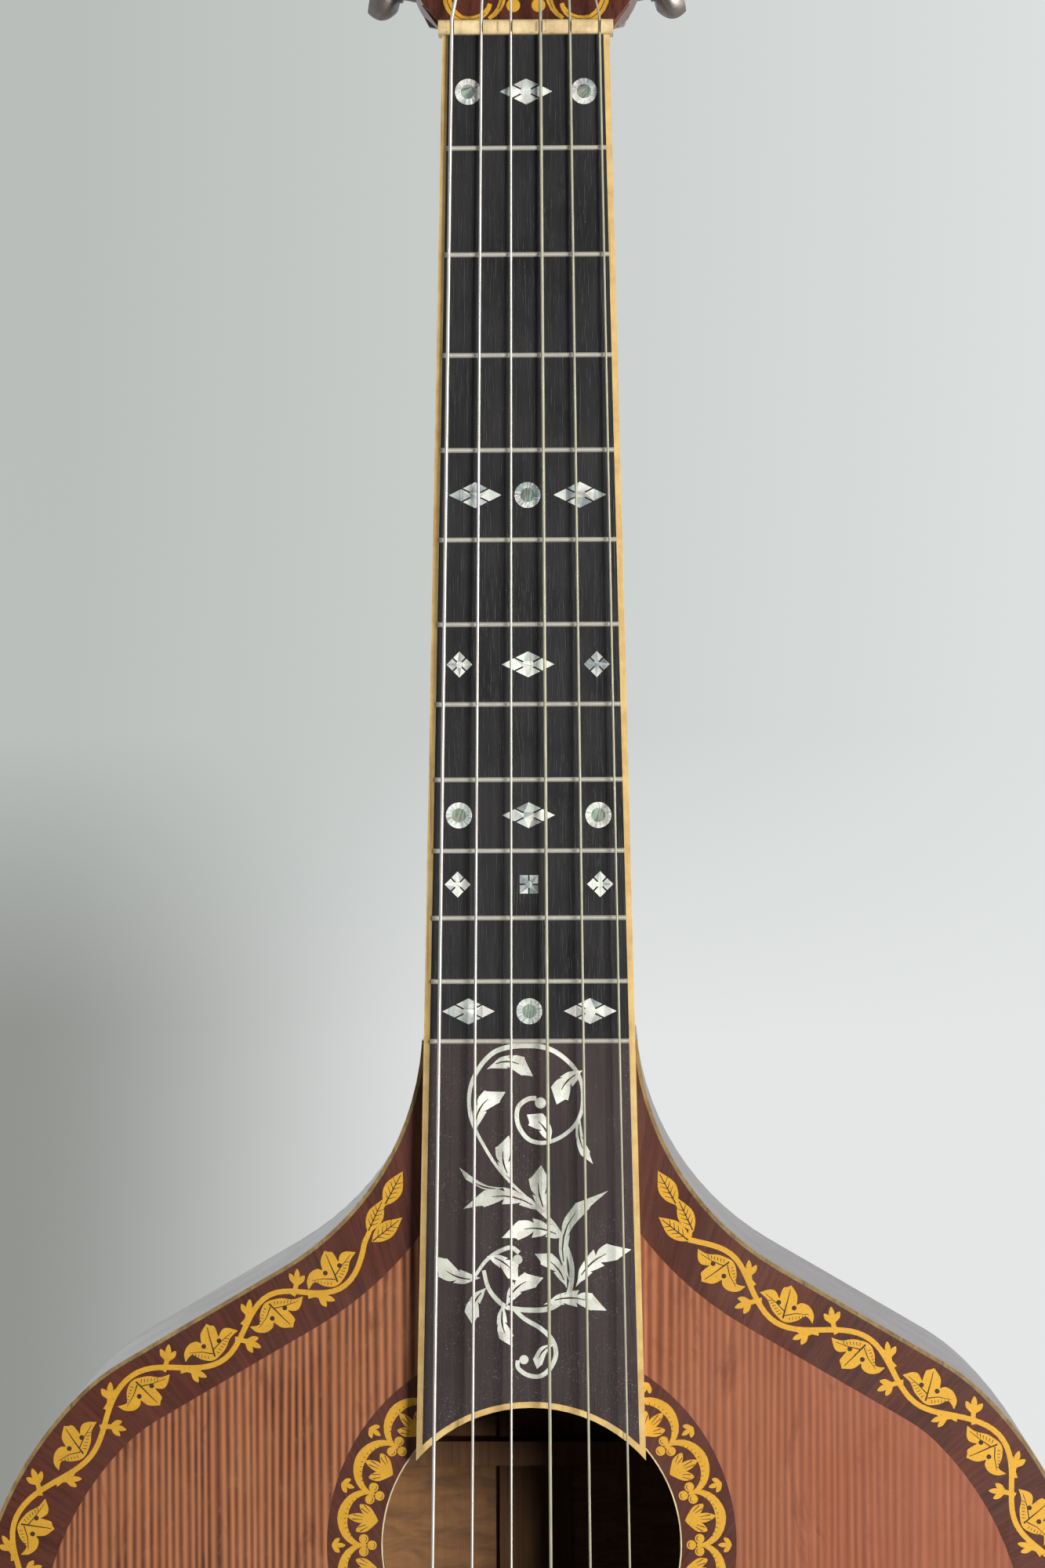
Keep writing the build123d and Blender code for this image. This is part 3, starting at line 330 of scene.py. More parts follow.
class Sheet:
    """Thin flat shapes laid on one plane and kept as one mesh; each is drawn in millimetres."""

    LAYERS = 18
    LAYER_STEP = 0.001
    UNDERSIDE = -0.01

    def __init__(self, plane, thickness, place=None):
        self.mesh = bmesh.new()
        self.plane = plane
        self.thickness = thickness
        self.place = place
        self.count = 0

    def put(self, points, lift):
        """Vertices for these points at one height over the plane."""
        placed = [self.place(p) if self.place else p for p in points]
        return [self.mesh.verts.new(self.plane @ (Vector((p.x, p.y, lift)) * MM)) for p in placed]

    def lift(self):
        """Height of the next shape; neighbours differ a little, so that none share a plane."""
        layer = 1 + self.count % self.LAYERS if self.count else 0
        self.count += 1
        return self.thickness + self.LAYER_STEP * layer

    def outline(self, points):
        """Lay a shape with this outline."""
        points = [Vector(p[:2]) for p in points]
        top, bottom = self.put(points, self.lift()), self.put(points, self.UNDERSIDE)
        faces = [self.mesh.faces.new(top), self.mesh.faces.new(bottom[::-1])]
        for i in range(len(points)):
            j = (i + 1) % len(points)
            self.mesh.faces.new((top[j], top[i], bottom[i], bottom[j]))
        for face in faces:
            face.normal_update()
        bmesh.ops.triangulate(self.mesh, faces=faces, ngon_method="EAR_CLIP")

    def stroke(self, points, widths):
        """Lay a stroke along these points."""
        left, right = line_sides(points, widths)
        lift = self.lift()
        rows = [self.put(side, height) for side in (left, right) for height in (lift, self.UNDERSIDE)]
        left_top, left_low, right_top, right_low = rows
        round_it = (left_top, right_top, right_low, left_low, left_top)
        for a, b in zip(round_it, round_it[1:]):
            for i in range(len(points) - 1):
                self.mesh.faces.new((a[i], a[i + 1], b[i + 1], b[i]))
        for i in (0, -1):
            self.mesh.faces.new((left_top[i], right_top[i], right_low[i], left_low[i]))

    def done(self, name, finish):
        """The finished piece."""
        return finish_object(name, self.mesh, finish, "root")


def face_plane(y):
    """Plane parallel to the face at this depth: X across, Y up the neck, Z out of the face."""
    return Matrix(((1, 0, 0, 0), (0, 0, -1, y), (0, 1, 0, 0), (0, 0, 0, 1)))


def head_plane():
    """The front of the head: X across, Y up the head, Z out of it, from the nut's upper side."""
    out = Vector(next(j["axis"] for j in frame["joints"] if j["name"] == "turn_post_right_1"))
    up = out.cross(Vector((1, 0, 0)))
    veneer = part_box("head_veneer")
    start = Vector((0, 0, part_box("nut")[1].z))
    lift = (Vector((0, veneer[0].y, veneer[0].z)) - start).dot(out)
    start += out * lift
    rows = ((1, up.x, out.x, start.x), (0, up.y, out.y, start.y), (0, up.z, out.z, start.z), (0, 0, 0, 1))
    return Matrix(rows)


def skin(mesh, rings):
    """Join rings of vertices into a closed skin with flat ends."""
    for ring, following in zip(rings, rings[1:]):
        for k in range(len(ring)):
            n = (k + 1) % len(ring)
            mesh.faces.new((ring[k], ring[n], following[n], following[k]))
    mesh.faces.new(rings[0][::-1])
    mesh.faces.new(rings[-1])


def tube(mesh, path, radius, sides=10):
    """Add a round tube along a list of points in metres."""
    rings = []
    side = Vector((1, 0, 0))
    for i, point in enumerate(path):
        ahead = (path[min(i + 1, len(path) - 1)] - path[max(i - 1, 0)]).normalized()
        side = (side - ahead * side.dot(ahead)).normalized()
        other = ahead.cross(side)
        spokes = [side * math.cos(a) + other * math.sin(a) for a in full_turn(sides)]
        rings.append([mesh.verts.new(point + spoke * radius) for spoke in spokes])
    skin(mesh, rings)


def loose_solids(node):
    """The separate solids of a CAD node as new meshes, the largest first."""
    whole = bmesh.new()
    whole.from_mesh(NODES[node].data)
    bmesh.ops.remove_doubles(whole, verts=whole.verts, dist=1e-6)
    left = set(whole.verts)
    groups = []
    while left:
        group, edge = set(), [left.pop()]
        while edge:
            vert = edge.pop()
            group.add(vert)
            for link in vert.link_edges:
                other = link.other_vert(vert)
                if other in left:
                    left.discard(other)
                    edge.append(other)
        groups.append(group)
    meshes = []
    for group in sorted(groups, key=len, reverse=True):
        part = bmesh.new()
        copies = {v: part.verts.new(v.co) for v in sorted(group, key=lambda v: v.index)}
        for face in whole.faces:
            if face.verts[0] in copies:
                part.faces.new([copies[v] for v in face.verts])
        meshes.append(part)
    whole.free()
    return meshes


# ---- shaders ----


def node(tree, kind, inputs=None, **settings):
    """Add a shader node; its inputs are joined to sockets or set to values."""
    made = tree.nodes.new(kind)
    for key, value in settings.items():
        setattr(made, key, value)
    for key, value in (inputs or {}).items():
        if isinstance(value, bpy.types.NodeSocket):
            tree.links.new(value, made.inputs[key])
        else:
            made.inputs[key].default_value = value
    return made


def scaled(tree, vector, scale):
    """The vector scaled along each axis."""
    return node(tree, "ShaderNodeMapping", {"Vector": vector, "Scale": scale}).outputs[0]


def maths(tree, operation, *values):
    """The result of one arithmetic step."""
    return node(tree, "ShaderNodeMath", dict(enumerate(values)), operation=operation).outputs[0]


def times(tree, first, second):
    """One value times another."""
    return maths(tree, "MULTIPLY", first, second)


def plus(tree, first, second):
    """One value and another added."""
    return maths(tree, "ADD", first, second)


def noise(tree, vector, scale, detail=3.0, roughness=0.55, distortion=0.0):
    """A noise value from 0 to 1."""
    inputs = {
        "Vector": vector, "Scale": scale, "Detail": detail, "Roughness": roughness, "Distortion": distortion,
    }
    return node(tree, "ShaderNodeTexNoise", inputs).outputs[0]


def span(tree, value, low, high, start=0.0, end=1.0):
    """The value's place between low and high, as start to end."""
    inputs = {"Value": value, "From Min": low, "From Max": high, "To Min": start, "To Max": end}
    return node(tree, "ShaderNodeMapRange", inputs).outputs[0]


def mixed(tree, share, first, second):
    """Two colours mixed."""
    colours = [c if isinstance(c, bpy.types.NodeSocket) else (*c[:3], 1) for c in (first, second)]
    made = node(tree, "ShaderNodeMix", {0: share, 6: colours[0], 7: colours[1]}, data_type="RGBA")
    return made.outputs[2]


def tinted(tree, mask, amount, base, tint):
    """The base colour with the tint over it, as much as a mask times an amount."""
    return mixed(tree, times(tree, mask, amount), base, tint)


def toned(colour, share):
    """A colour made weaker or stronger."""
    return tuple(c * share for c in colour)


def new_group(name, floats):
    """An empty node group with a vector input and these float outputs."""
    tree = bpy.data.node_groups.new(name, "ShaderNodeTree")
    tree.interface.new_socket("Vector", in_out="INPUT", socket_type="NodeSocketVector")
    for output in floats:
        tree.interface.new_socket(output, in_out="OUTPUT", socket_type="NodeSocketFloat")
    return tree, tree.nodes.new("NodeGroupInput").outputs[0], tree.nodes.new("NodeGroupOutput")


def close_group(tree, end, values):
    """Join the group's results to its outputs."""
    for value, socket in zip(values, end.inputs):
        tree.links.new(value, socket)


def grain_group():
    """Straight grain along Z: fine streaks, pores and broad figure."""
    tree, vector, end = new_group("Straight grain", ("Streaks", "Pores", "Figure"))
    streaks = noise(tree, scaled(tree, vector, (1, 1, 0.025)), 620, 4, 0.62)
    pores = noise(tree, scaled(tree, vector, (1, 1, 0.06)), 2300, 2, 0.5)
    figure = noise(tree, scaled(tree, vector, (1, 1, 0.12)), 48, 5, 0.6, 0.8)
    close_group(tree, end, (
        span(tree, streaks, 0.3, 0.7), span(tree, pores, 0.57, 0.68), span(tree, figure, 0.3, 0.7),
    ))
    return tree


def wear_group():
    """Handling: broad smudges, fine scratches and settled dust."""
    tree, vector, end = new_group("Handling", ("Smudge", "Scratches", "Dust"))
    smudge = noise(tree, vector, 34, 5, 0.65)
    slant = {"Vector": vector, "Rotation": (0.2, 0.5, 0.3), "Scale": (1, 1, 0.02)}
    scratches = noise(tree, node(tree, "ShaderNodeMapping", slant).outputs[0], 900, 1, 0.4)
    dust = noise(tree, vector, 2100, 2, 0.6)
    patches = noise(tree, vector, 90, 2, 0.5)
    close_group(tree, end, (
        span(tree, smudge, 0.3, 0.72), span(tree, scratches, 0.66, 0.73),
        times(tree, span(tree, dust, 0.62, 0.76), span(tree, patches, 0.4, 0.65)),
    ))
    return tree


def lustre_group():
    """Layered shell: rippled bands, flakes of different brightness and a slow drift of tint."""
    tree, vector, end = new_group("Shell lustre", ("Ripple", "Flake", "Drift"))
    bent = node(tree, "ShaderNodeVectorMath", {0: vector}, operation="ADD")
    wander = node(tree, "ShaderNodeTexNoise", {"Vector": vector, "Scale": 130.0, "Detail": 3.0})
    tree.links.new(scaled(tree, wander.outputs[1], (0.008, 0.008, 0.008)), bent.inputs[1])
    ripple = noise(tree, scaled(tree, bent.outputs[0], (1, 1, 0.4)), 520, 3, 0.6, 1.2)
    cells = node(tree, "ShaderNodeTexVoronoi", {"Vector": bent.outputs[0], "Scale": 230.0})
    flake = node(tree, "ShaderNodeSeparateColor", {0: cells.outputs["Color"]}).outputs[0]
    drift = noise(tree, vector, 85, 2, 0.5)
    close_group(tree, end, (span(tree, ripple, 0.3, 0.7), flake, span(tree, drift, 0.35, 0.65)))
    return tree


def brushed_group():
    """Metal finish: fine polishing lines and a dull haze."""
    tree, vector, end = new_group("Polished metal", ("Lines", "Haze"))
    lines = noise(tree, scaled(tree, vector, (0.05, 1, 1)), 2600, 2, 0.6)
    haze = noise(tree, vector, 210, 5, 0.7)
    close_group(tree, end, (span(tree, lines, 0.3, 0.7), span(tree, haze, 0.35, 0.7)))
    return tree


GROUPS = {"grain": grain_group, "wear": wear_group, "lustre": lustre_group, "brushed": brushed_group}
MADE = {}


class Finish:
    """A material being made: its node tree, its coordinates and its shader."""

    def __init__(self, name, **constants):
        self.material = bpy.data.materials.new(name)
        self.material.use_nodes = True
        self.tree = self.material.node_tree
        self.shader = next(n for n in self.tree.nodes if n.type == "BSDF_PRINCIPLED")
        coordinates = self.tree.nodes.new("ShaderNodeTexCoord")
        self.object = coordinates.outputs["Object"]
        for key, value in constants.items():
            self.shader.inputs[key.replace("_", " ").title().replace("Ior", "IOR")].default_value = value

    def group(self, name, vector=None):
        """The outputs of a shared effect."""
        if name not in MADE:
            MADE[name] = GROUPS[name]()
        made = self.tree.nodes.new("ShaderNodeGroup")
        made.node_tree = MADE[name]
        self.tree.links.new(vector or self.object, made.inputs[0])
        return made.outputs

    def part(self, axis):
        """One coordinate of the place, by its letter."""
        return node(self.tree, "ShaderNodeSeparateXYZ", {0: self.object}).outputs[axis]

    def join(self, socket, value):
        """Join a value to one of the shader's inputs."""
        self.tree.links.new(value, self.shader.inputs[socket])

    def relief(self, height, distance, strength=1.0):
        """Raise the surface by a height value."""
        inputs = {"Height": height, "Distance": distance, "Strength": strength}
        self.join("Normal", node(self.tree, "ShaderNodeBump", inputs).outputs[0])


def varnished(name, light, dark, pores=0.35, rough=(0.24, 0.42), coat=0.5, vector=None, dust=0.25):
    """Polished open-pored wood with its grain along Z."""
    finish = Finish(name, coat_roughness=0.12, coat_ior=1.5, specular_ior_level=0.45)
    tree = finish.tree
    grain = finish.group("grain", vector(finish) if vector else None)
    wear = finish.group("wear")
    streak = plus(tree, times(tree, grain["Streaks"], 0.6), times(tree, grain["Figure"], 0.5))
    colour = mixed(tree, streak, dark, light)
    colour = mixed(tree, times(tree, grain["Pores"], pores), colour, toned(dark, 0.3))
    colour = mixed(tree, times(tree, wear["Dust"], dust), colour, (0.42, 0.38, 0.34))
    finish.join("Base Color", colour)
    finish.join("Roughness", span(tree, wear["Smudge"], 0, 1, *rough))
    finish.join("Coat Weight", span(tree, wear["Scratches"], 0, 1, coat, coat * 0.35))
    finish.relief(plus(tree, grain["Pores"], times(tree, wear["Scratches"], 0.6)), 0.00004, 0.35)
    return finish.material


def radial_grain(finish):
    """Grain that runs outward from the middle of the lower body, for wood laid in pieces round the edge."""
    tree = finish.tree
    x, y, z = finish.part("X"), finish.part("Y"), finish.part("Z")
    up = plus(tree, z, BODY_MIDDLE)
    turn = maths(tree, "ARCTAN2", x, up)
    reach = maths(tree, "SQRT", plus(tree, times(tree, x, x), times(tree, up, up)))
    return node(tree, "ShaderNodeCombineXYZ", {0: times(tree, turn, 0.2), 1: y, 2: reach}).outputs[0]


def spruce_finish(woods):
    """Amber-varnished spruce with strong dark rings, redder and quieter on the treble side: partly the wood's
    own colour, partly a painted sheen.
    """
    finish = Finish("Spruce top", coat_roughness=0.2, specular_ior_level=0.4)
    tree = finish.tree
    grain, wear = finish.group("grain"), finish.group("wear")
    drift = noise(tree, scaled(tree, finish.object, (1, 1, 0.03)), 55, 2, 0.5)
    x = plus(tree, finish.part("X"), times(tree, maths(tree, "SUBTRACT", drift, 0.5), 0.009))
    place = node(tree, "ShaderNodeCombineXYZ", {0: x}).outputs[0]
    wave = node(tree, "ShaderNodeTexWave", {"Vector": place, "Scale": 126.0}, bands_direction="X")
    ring = maths(tree, "POWER", wave.outputs["Fac"], 0.85)
    # Treble side mask: redder with quieter rings there, partly the wood's own colour and partly a painted
    # sheen.
    treble = span(tree, finish.part("X"), -0.02, 0.11)
    ring = times(tree, ring, span(tree, treble, 0, 1, 1.0, 0.6))
    clouds = noise(tree, scaled(tree, finish.object, (1, 1, 0.35)), 42, 5, 0.62)
    ring = times(tree, ring, span(tree, clouds, 0.3, 0.65, 0.5, 1.0))
    colour = mixed(tree, ring, woods.spruce_light, woods.spruce_dark)
    stains = span(tree, noise(tree, scaled(tree, finish.object, (1, 1, 0.3)), 70, 4, 0.6, 1.5), 0.58, 0.72)
    colour = tinted(tree, stains, 0.6, colour, woods.spruce_dark)
    bright = span(tree, noise(tree, scaled(tree, finish.object, (1, 1, 0.5)), 260, 4, 0.7), 0.55, 0.75)
    colour = tinted(tree, bright, 0.28, colour, (0.52, 0.24, 0.12))
    # The treble side's red tint: partly the wood's own colour, partly a painted sheen.
    colour = tinted(tree, treble, 0.55, colour, (0.27, 0.068, 0.043))
    colour = tinted(tree, grain["Streaks"], 0.32, colour, woods.spruce_dark)
    colour = tinted(tree, wear["Dust"], 0.3, colour, (0.52, 0.42, 0.34))
    inside = maths(tree, "GREATER_THAN", finish.part("Y"), FACE_Y + FACE_SKIN)
    bare = mixed(tree, ring, woods.spruce_inside, toned(woods.spruce_inside, 0.55))
    finish.join("Base Color", mixed(tree, inside, colour, bare))
    handled = span(tree, wear["Smudge"], 0, 1, 0.3, 0.44)
    finish.join("Roughness", plus(tree, handled, times(tree, inside, 0.25)))
    finish.join("Coat Weight", span(tree, inside, 0, 1, 0.3, 0.0))
    finish.relief(plus(tree, wave.outputs["Fac"], times(tree, grain["Streaks"], 0.5)), 0.00005, 0.5)
    return finish.material


def bare_finish(woods):
    """Unvarnished spruce, brown with age."""
    finish = Finish("Bare spruce", specular_ior_level=0.25)
    tree = finish.tree
    grain, wear = finish.group("grain"), finish.group("wear")
    dark = toned(woods.spruce_inside, 0.55)
    colour = mixed(tree, grain["Streaks"], dark, woods.spruce_inside)
    colour = tinted(tree, wear["Smudge"], 0.35, colour, dark)
    finish.join("Base Color", colour)
    finish.join("Roughness", span(tree, wear["Dust"], 0, 1, 0.6, 0.85))
    finish.relief(grain["Streaks"], 0.0001, 0.5)
    return finish.material


def back_finish(woods):
    """Glossy rosewood outside; bare flamed wood on the inner face."""
    finish = Finish("Rosewood back", coat_roughness=0.08, specular_ior_level=0.5)
    tree = finish.tree
    grain, wear = finish.group("grain"), finish.group("wear")
    streak = times(tree, plus(tree, grain["Streaks"], grain["Figure"]), 0.55)
    outside = mixed(tree, streak, woods.rosewood_dark, woods.rosewood_light)
    outside = tinted(tree, grain["Pores"], 0.5, outside, (0.008, 0.004, 0.003))
    flame = noise(tree, scaled(tree, finish.object, (0.35, 1, 1)), 190, 3, 0.6, 0.7)
    bare = mixed(tree, span(tree, flame, 0.3, 0.7), toned(woods.figured, 0.4), woods.figured)
    bare = tinted(tree, grain["Streaks"], 0.4, bare, toned(woods.figured, 0.5))
    inner = maths(tree, "LESS_THAN", finish.part("Y"), INNER_BACK_Y + INNER_SKIN)
    finish.join("Base Color", mixed(tree, inner, outside, bare))
    handled = span(tree, wear["Smudge"], 0, 1, 0.16, 0.34)
    finish.join("Roughness", plus(tree, handled, times(tree, inner, 0.4)))
    finish.join("Coat Weight", span(tree, inner, 0, 1, 0.7, 0.0))
    finish.relief(grain["Pores"], 0.00004, 0.4)
    return finish.material


def ebony_finish(woods):
    """Worn black ebony, paler where fingers press it and dusty between."""
    finish = Finish("Ebony", specular_ior_level=0.3, coat_roughness=0.3)
    tree = finish.tree
    grain, wear = finish.group("grain"), finish.group("wear")
    colour = tinted(tree, grain["Streaks"], 0.8, woods.ebony, toned(woods.ebony, 2.4))
    colour = tinted(tree, wear["Smudge"], 0.3, colour, (0.018, 0.016, 0.017))
    colour = tinted(tree, wear["Dust"], 0.3, colour, (0.15, 0.135, 0.125))
    finish.join("Base Color", colour)
    finish.join("Roughness", span(tree, wear["Smudge"], 0, 1, 0.34, 0.55))
    finish.join("Coat Weight", span(tree, wear["Scratches"], 0, 1, 0.12, 0.02))
    finish.relief(plus(tree, grain["Pores"], wear["Scratches"]), 0.00005, 0.4)
    return finish.material


def cream_finish(name, colour, stain, patch):
    """Aged cream material with stains in its hollows, as of old celluloid or bone."""
    finish = Finish(
        name, specular_ior_level=0.5, coat_roughness=0.15, ior=1.5,
        subsurface_weight=0.15, subsurface_scale=0.002,
    )
    tree = finish.tree
    wear = finish.group("wear")
    clouds = span(tree, noise(tree, finish.object, 150, 5, 0.65), 0.4, 0.75)
    threads = span(tree, noise(tree, scaled(tree, finish.object, (1, 1, 0.15)), 700, 3, 0.6), 0.45, 0.75)
    shade = mixed(tree, times(tree, clouds, patch), colour, stain)
    shade = tinted(tree, threads, 0.3, shade, stain)
    shade = tinted(tree, wear["Scratches"], 0.5, shade, toned(stain, 0.4))
    finish.join("Base Color", shade)
    finish.join("Roughness", span(tree, wear["Smudge"], 0, 1, 0.22, 0.42))
    finish.join("Coat Weight", span(tree, clouds, 0, 1, 0.5, 0.15))
    finish.relief(plus(tree, clouds, threads), 0.00004, 0.3)
    return finish.material


def pearl_finish(name, bright, grey, tint, flare, film=380.0):
    """Polished shell whose pieces differ from one to the next."""
    finish = Finish(
        name, specular_ior_level=0.7, coat_roughness=0.06, thin_film_thickness=film, thin_film_ior=1.5,
    )
    tree = finish.tree
    lustre = finish.group("lustre")
    wear = finish.group("wear")
    island = node(tree, "ShaderNodeNewGeometry").outputs["Random Per Island"]
    level = plus(tree, times(tree, island, 0.75), times(tree, lustre["Drift"], 0.55))
    colour = mixed(tree, span(tree, level, 0.25, 1.0), grey, bright)
    colour = mixed(tree, times(tree, span(tree, lustre["Ripple"], 0.45, 1), 0.42), colour, tint)
    colour = mixed(tree, times(tree, span(tree, lustre["Flake"], 0.5, 1), 0.2), colour, flare)
    colour = tinted(tree, wear["Scratches"], 0.3, colour, toned(grey, 0.3))
    finish.join("Base Color", colour)
    finish.join("Roughness", span(tree, lustre["Ripple"], 0, 1, 0.18, 0.42))
    finish.join("Metallic", span(tree, lustre["Flake"], 0, 1, 0.0, 0.3))
    finish.join("Coat Weight", span(tree, wear["Smudge"], 0, 1, 0.7, 0.3))
    finish.relief(lustre["Ripple"], 0.00003, 0.3)
    return finish.material


def metal_finish(name, colour, tarnish, amount=0.5, rough=(0.2, 0.42), metal_share=(1.0, 0.75)):
    """Polished metal with a dull haze."""
    finish = Finish(name, specular_ior_level=0.5, anisotropic=0.2)
    tree = finish.tree
    metal, wear = finish.group("brushed"), finish.group("wear")
    shade = mixed(tree, times(tree, metal["Haze"], amount), colour, tarnish)
    shade = tinted(tree, wear["Scratches"], 0.3, shade, tuple(min(1, c * 1.3) for c in colour))
    finish.join("Base Color", shade)
    finish.join("Metallic", span(tree, metal["Haze"], 0, 1, *metal_share))
    finish.join("Roughness", span(tree, metal["Haze"], 0, 1, *rough))
    finish.relief(plus(tree, metal["Lines"], wear["Scratches"]), 0.00001, 0.35)
    return finish.material


def gilt_finish(trim):
    """Gold paint, thin and worn in places."""
    finish = Finish("Gilding", specular_ior_level=0.5)
    tree = finish.tree
    metal, wear = finish.group("brushed"), finish.group("wear")
    shade = tinted(tree, wear["Smudge"], 0.5, trim.gilt, toned(trim.gilt, 0.6))
    speck = span(tree, noise(tree, finish.object, 1500, 3, 0.7), 0.55, 0.7)
    shade = tinted(tree, speck, 0.5, shade, (0.17, 0.08, 0.03))
    finish.join("Base Color", shade)
    finish.join("Metallic", span(tree, metal["Haze"], 0, 1, 0.42, 0.1))
    finish.join("Roughness", span(tree, wear["Smudge"], 0, 1, 0.38, 0.58))
    finish.relief(plus(tree, metal["Haze"], speck), 0.00003, 0.5)
    return finish.material


def ink_finish():
    """Dark line work over the gold and pearl."""
    finish = Finish("Dark lines", specular_ior_level=0.3)
    tree = finish.tree
    wear = finish.group("wear")
    finish.join("Base Color", mixed(tree, wear["Smudge"], (0.022, 0.012, 0.009), (0.055, 0.026, 0.016)))
    finish.join("Roughness", span(tree, wear["Smudge"], 0, 1, 0.45, 0.7))
    return finish.material


# From one turn of wire to the next on a wound string, in metres.
WIRE_PITCH = 0.00032


def wound_finish(pitch):
    """Silvered wire wound round a string, one turn each pitch, with painted shade darkening the grooves
    between turns.
    """
    finish = Finish("Wound string", specular_ior_level=0.5)
    tree = finish.tree
    metal, wear = finish.group("brushed"), finish.group("wear")
    place = node(tree, "ShaderNodeCombineXYZ", {0: finish.part("Z")}).outputs[0]
    wave = {"Vector": place, "Scale": math.pi / 10 / pitch}
    turns = node(tree, "ShaderNodeTexWave", wave, bands_direction="X")
    # Darker in the grooves between turns: painted shade.
    shade = mixed(tree, turns.outputs["Fac"], (0.50, 0.49, 0.45), (0.88, 0.87, 0.83))
    shade = tinted(tree, wear["Smudge"], 0.35, shade, (0.24, 0.20, 0.15))
    finish.join("Base Color", shade)
    finish.join("Metallic", span(tree, metal["Haze"], 0, 1, 0.8, 0.6))
    finish.join("Roughness", span(tree, wear["Smudge"], 0, 1, 0.38, 0.5))
    finish.relief(turns.outputs["Fac"], 0.00003, 0.35)
    return finish.material


def gut_finish(trim):
    """Translucent gut."""
    finish = Finish("Gut", specular_ior_level=0.5, ior=1.5, transmission_weight=0.3)
    tree = finish.tree
    wear = finish.group("wear")
    twist = noise(tree, scaled(tree, finish.object, (1, 1, 0.1)), 1500, 2, 0.5)
    shade = mixed(tree, span(tree, twist, 0.3, 0.7), toned(trim.gut, 0.75), trim.gut)
    finish.join("Base Color", tinted(tree, wear["Smudge"], 0.3, shade, (0.3, 0.26, 0.17)))
    finish.join("Roughness", span(tree, wear["Smudge"], 0, 1, 0.24, 0.4))
    finish.relief(twist, 0.00002, 0.4)
    return finish.material


def finish_for(key):
    """A finish by name, made once."""
    if key not in MADE:
        scene = bpy.context.scene
        MADE[key] = FINISHES[key](scene.lute_woods, scene.lute_trim)
    return MADE[key]


FINISHES = {
    "spruce_top": lambda woods, trim: spruce_finish(woods),
    "rosewood": lambda woods, trim: varnished(
        "Rosewood", woods.rosewood_light, woods.rosewood_dark, 0.5, (0.16, 0.32), 0.75
    ),
    "border": lambda woods, trim: varnished(
        "Rosewood border", woods.rosewood_light, woods.rosewood_dark, 0.45, (0.3, 0.46), 0.2, radial_grain
    ),
    # The board end's colours are darkened to match it where it lies in shade: painted shade over the wood's
    # own dark tone.
    "extension": lambda woods, trim: varnished(
        "Rosewood board, darkened for shade", (0.043, 0.026, 0.028), (0.018, 0.0115, 0.0125), 0.5, (0.4, 0.55), 0.1, None, 0.5
    ),
    "back": lambda woods, trim: back_finish(woods),
    "mahogany": lambda woods, trim: varnished(
        "Mahogany", woods.mahogany, toned(woods.mahogany, 0.45), 0.4, (0.28, 0.44), 0.45
    ),
    "spruce_inside": lambda woods, trim: bare_finish(woods),
    "maple_stripe": lambda woods, trim: varnished(
        "Light stripe", (0.50, 0.30, 0.13), (0.26, 0.13, 0.05), 0.15, (0.24, 0.4), 0.5
    ),
    "ebony": lambda woods, trim: ebony_finish(woods),
    "celluloid": lambda woods, trim: cream_finish("Cream binding", trim.celluloid, (0.36, 0.17, 0.05), 0.55),
    "edge_line": lambda woods, trim: cream_finish(
        "Edge binding", toned(trim.celluloid, 0.42), (0.07, 0.025, 0.012), 0.8
    ),
    "bone": lambda woods, trim: cream_finish("Bone", trim.bone, (0.26, 0.13, 0.045), 0.6),
    "amber_celluloid": lambda woods, trim: cream_finish("Button", trim.button, (0.07, 0.02, 0.014), 0.7),
    "pearl": lambda woods, trim: pearl_finish(
        "Pearl", trim.pearl, (0.22, 0.26, 0.29), (0.30, 0.50, 0.42), (0.72, 0.50, 0.47)
    ),
    "white_pearl": lambda woods, trim: pearl_finish(
        "White pearl", trim.pearl, (0.50, 0.52, 0.47), (0.40, 0.55, 0.45), (0.75, 0.62, 0.50)
    ),
    "shell": lambda woods, trim: pearl_finish(
        "Green shell", (0.34, 0.42, 0.33), (0.08, 0.10, 0.11), (0.06, 0.35, 0.24), (0.36, 0.11, 0.08), 460.0
    ),
    "nickel_silver": lambda woods, trim: metal_finish(
        "Nickel silver", (0.66, 0.64, 0.57), (0.46, 0.42, 0.34), 0.5, (0.3, 0.45), (0.6, 0.45)
    ),
    "nickel_plate": lambda woods, trim: metal_finish("Nickel plate", trim.nickel, (0.33, 0.28, 0.21), 0.7),
    "steel": lambda woods, trim: metal_finish(
        "Steel", (0.36, 0.35, 0.34), (0.16, 0.11, 0.08), 0.8, (0.3, 0.55)
    ),
    "gut": lambda woods, trim: gut_finish(trim),
    "gilding": lambda woods, trim: gilt_finish(trim),
    "ink": lambda woods, trim: ink_finish(),
    "wound": lambda woods, trim: wound_finish(WIRE_PITCH),
}

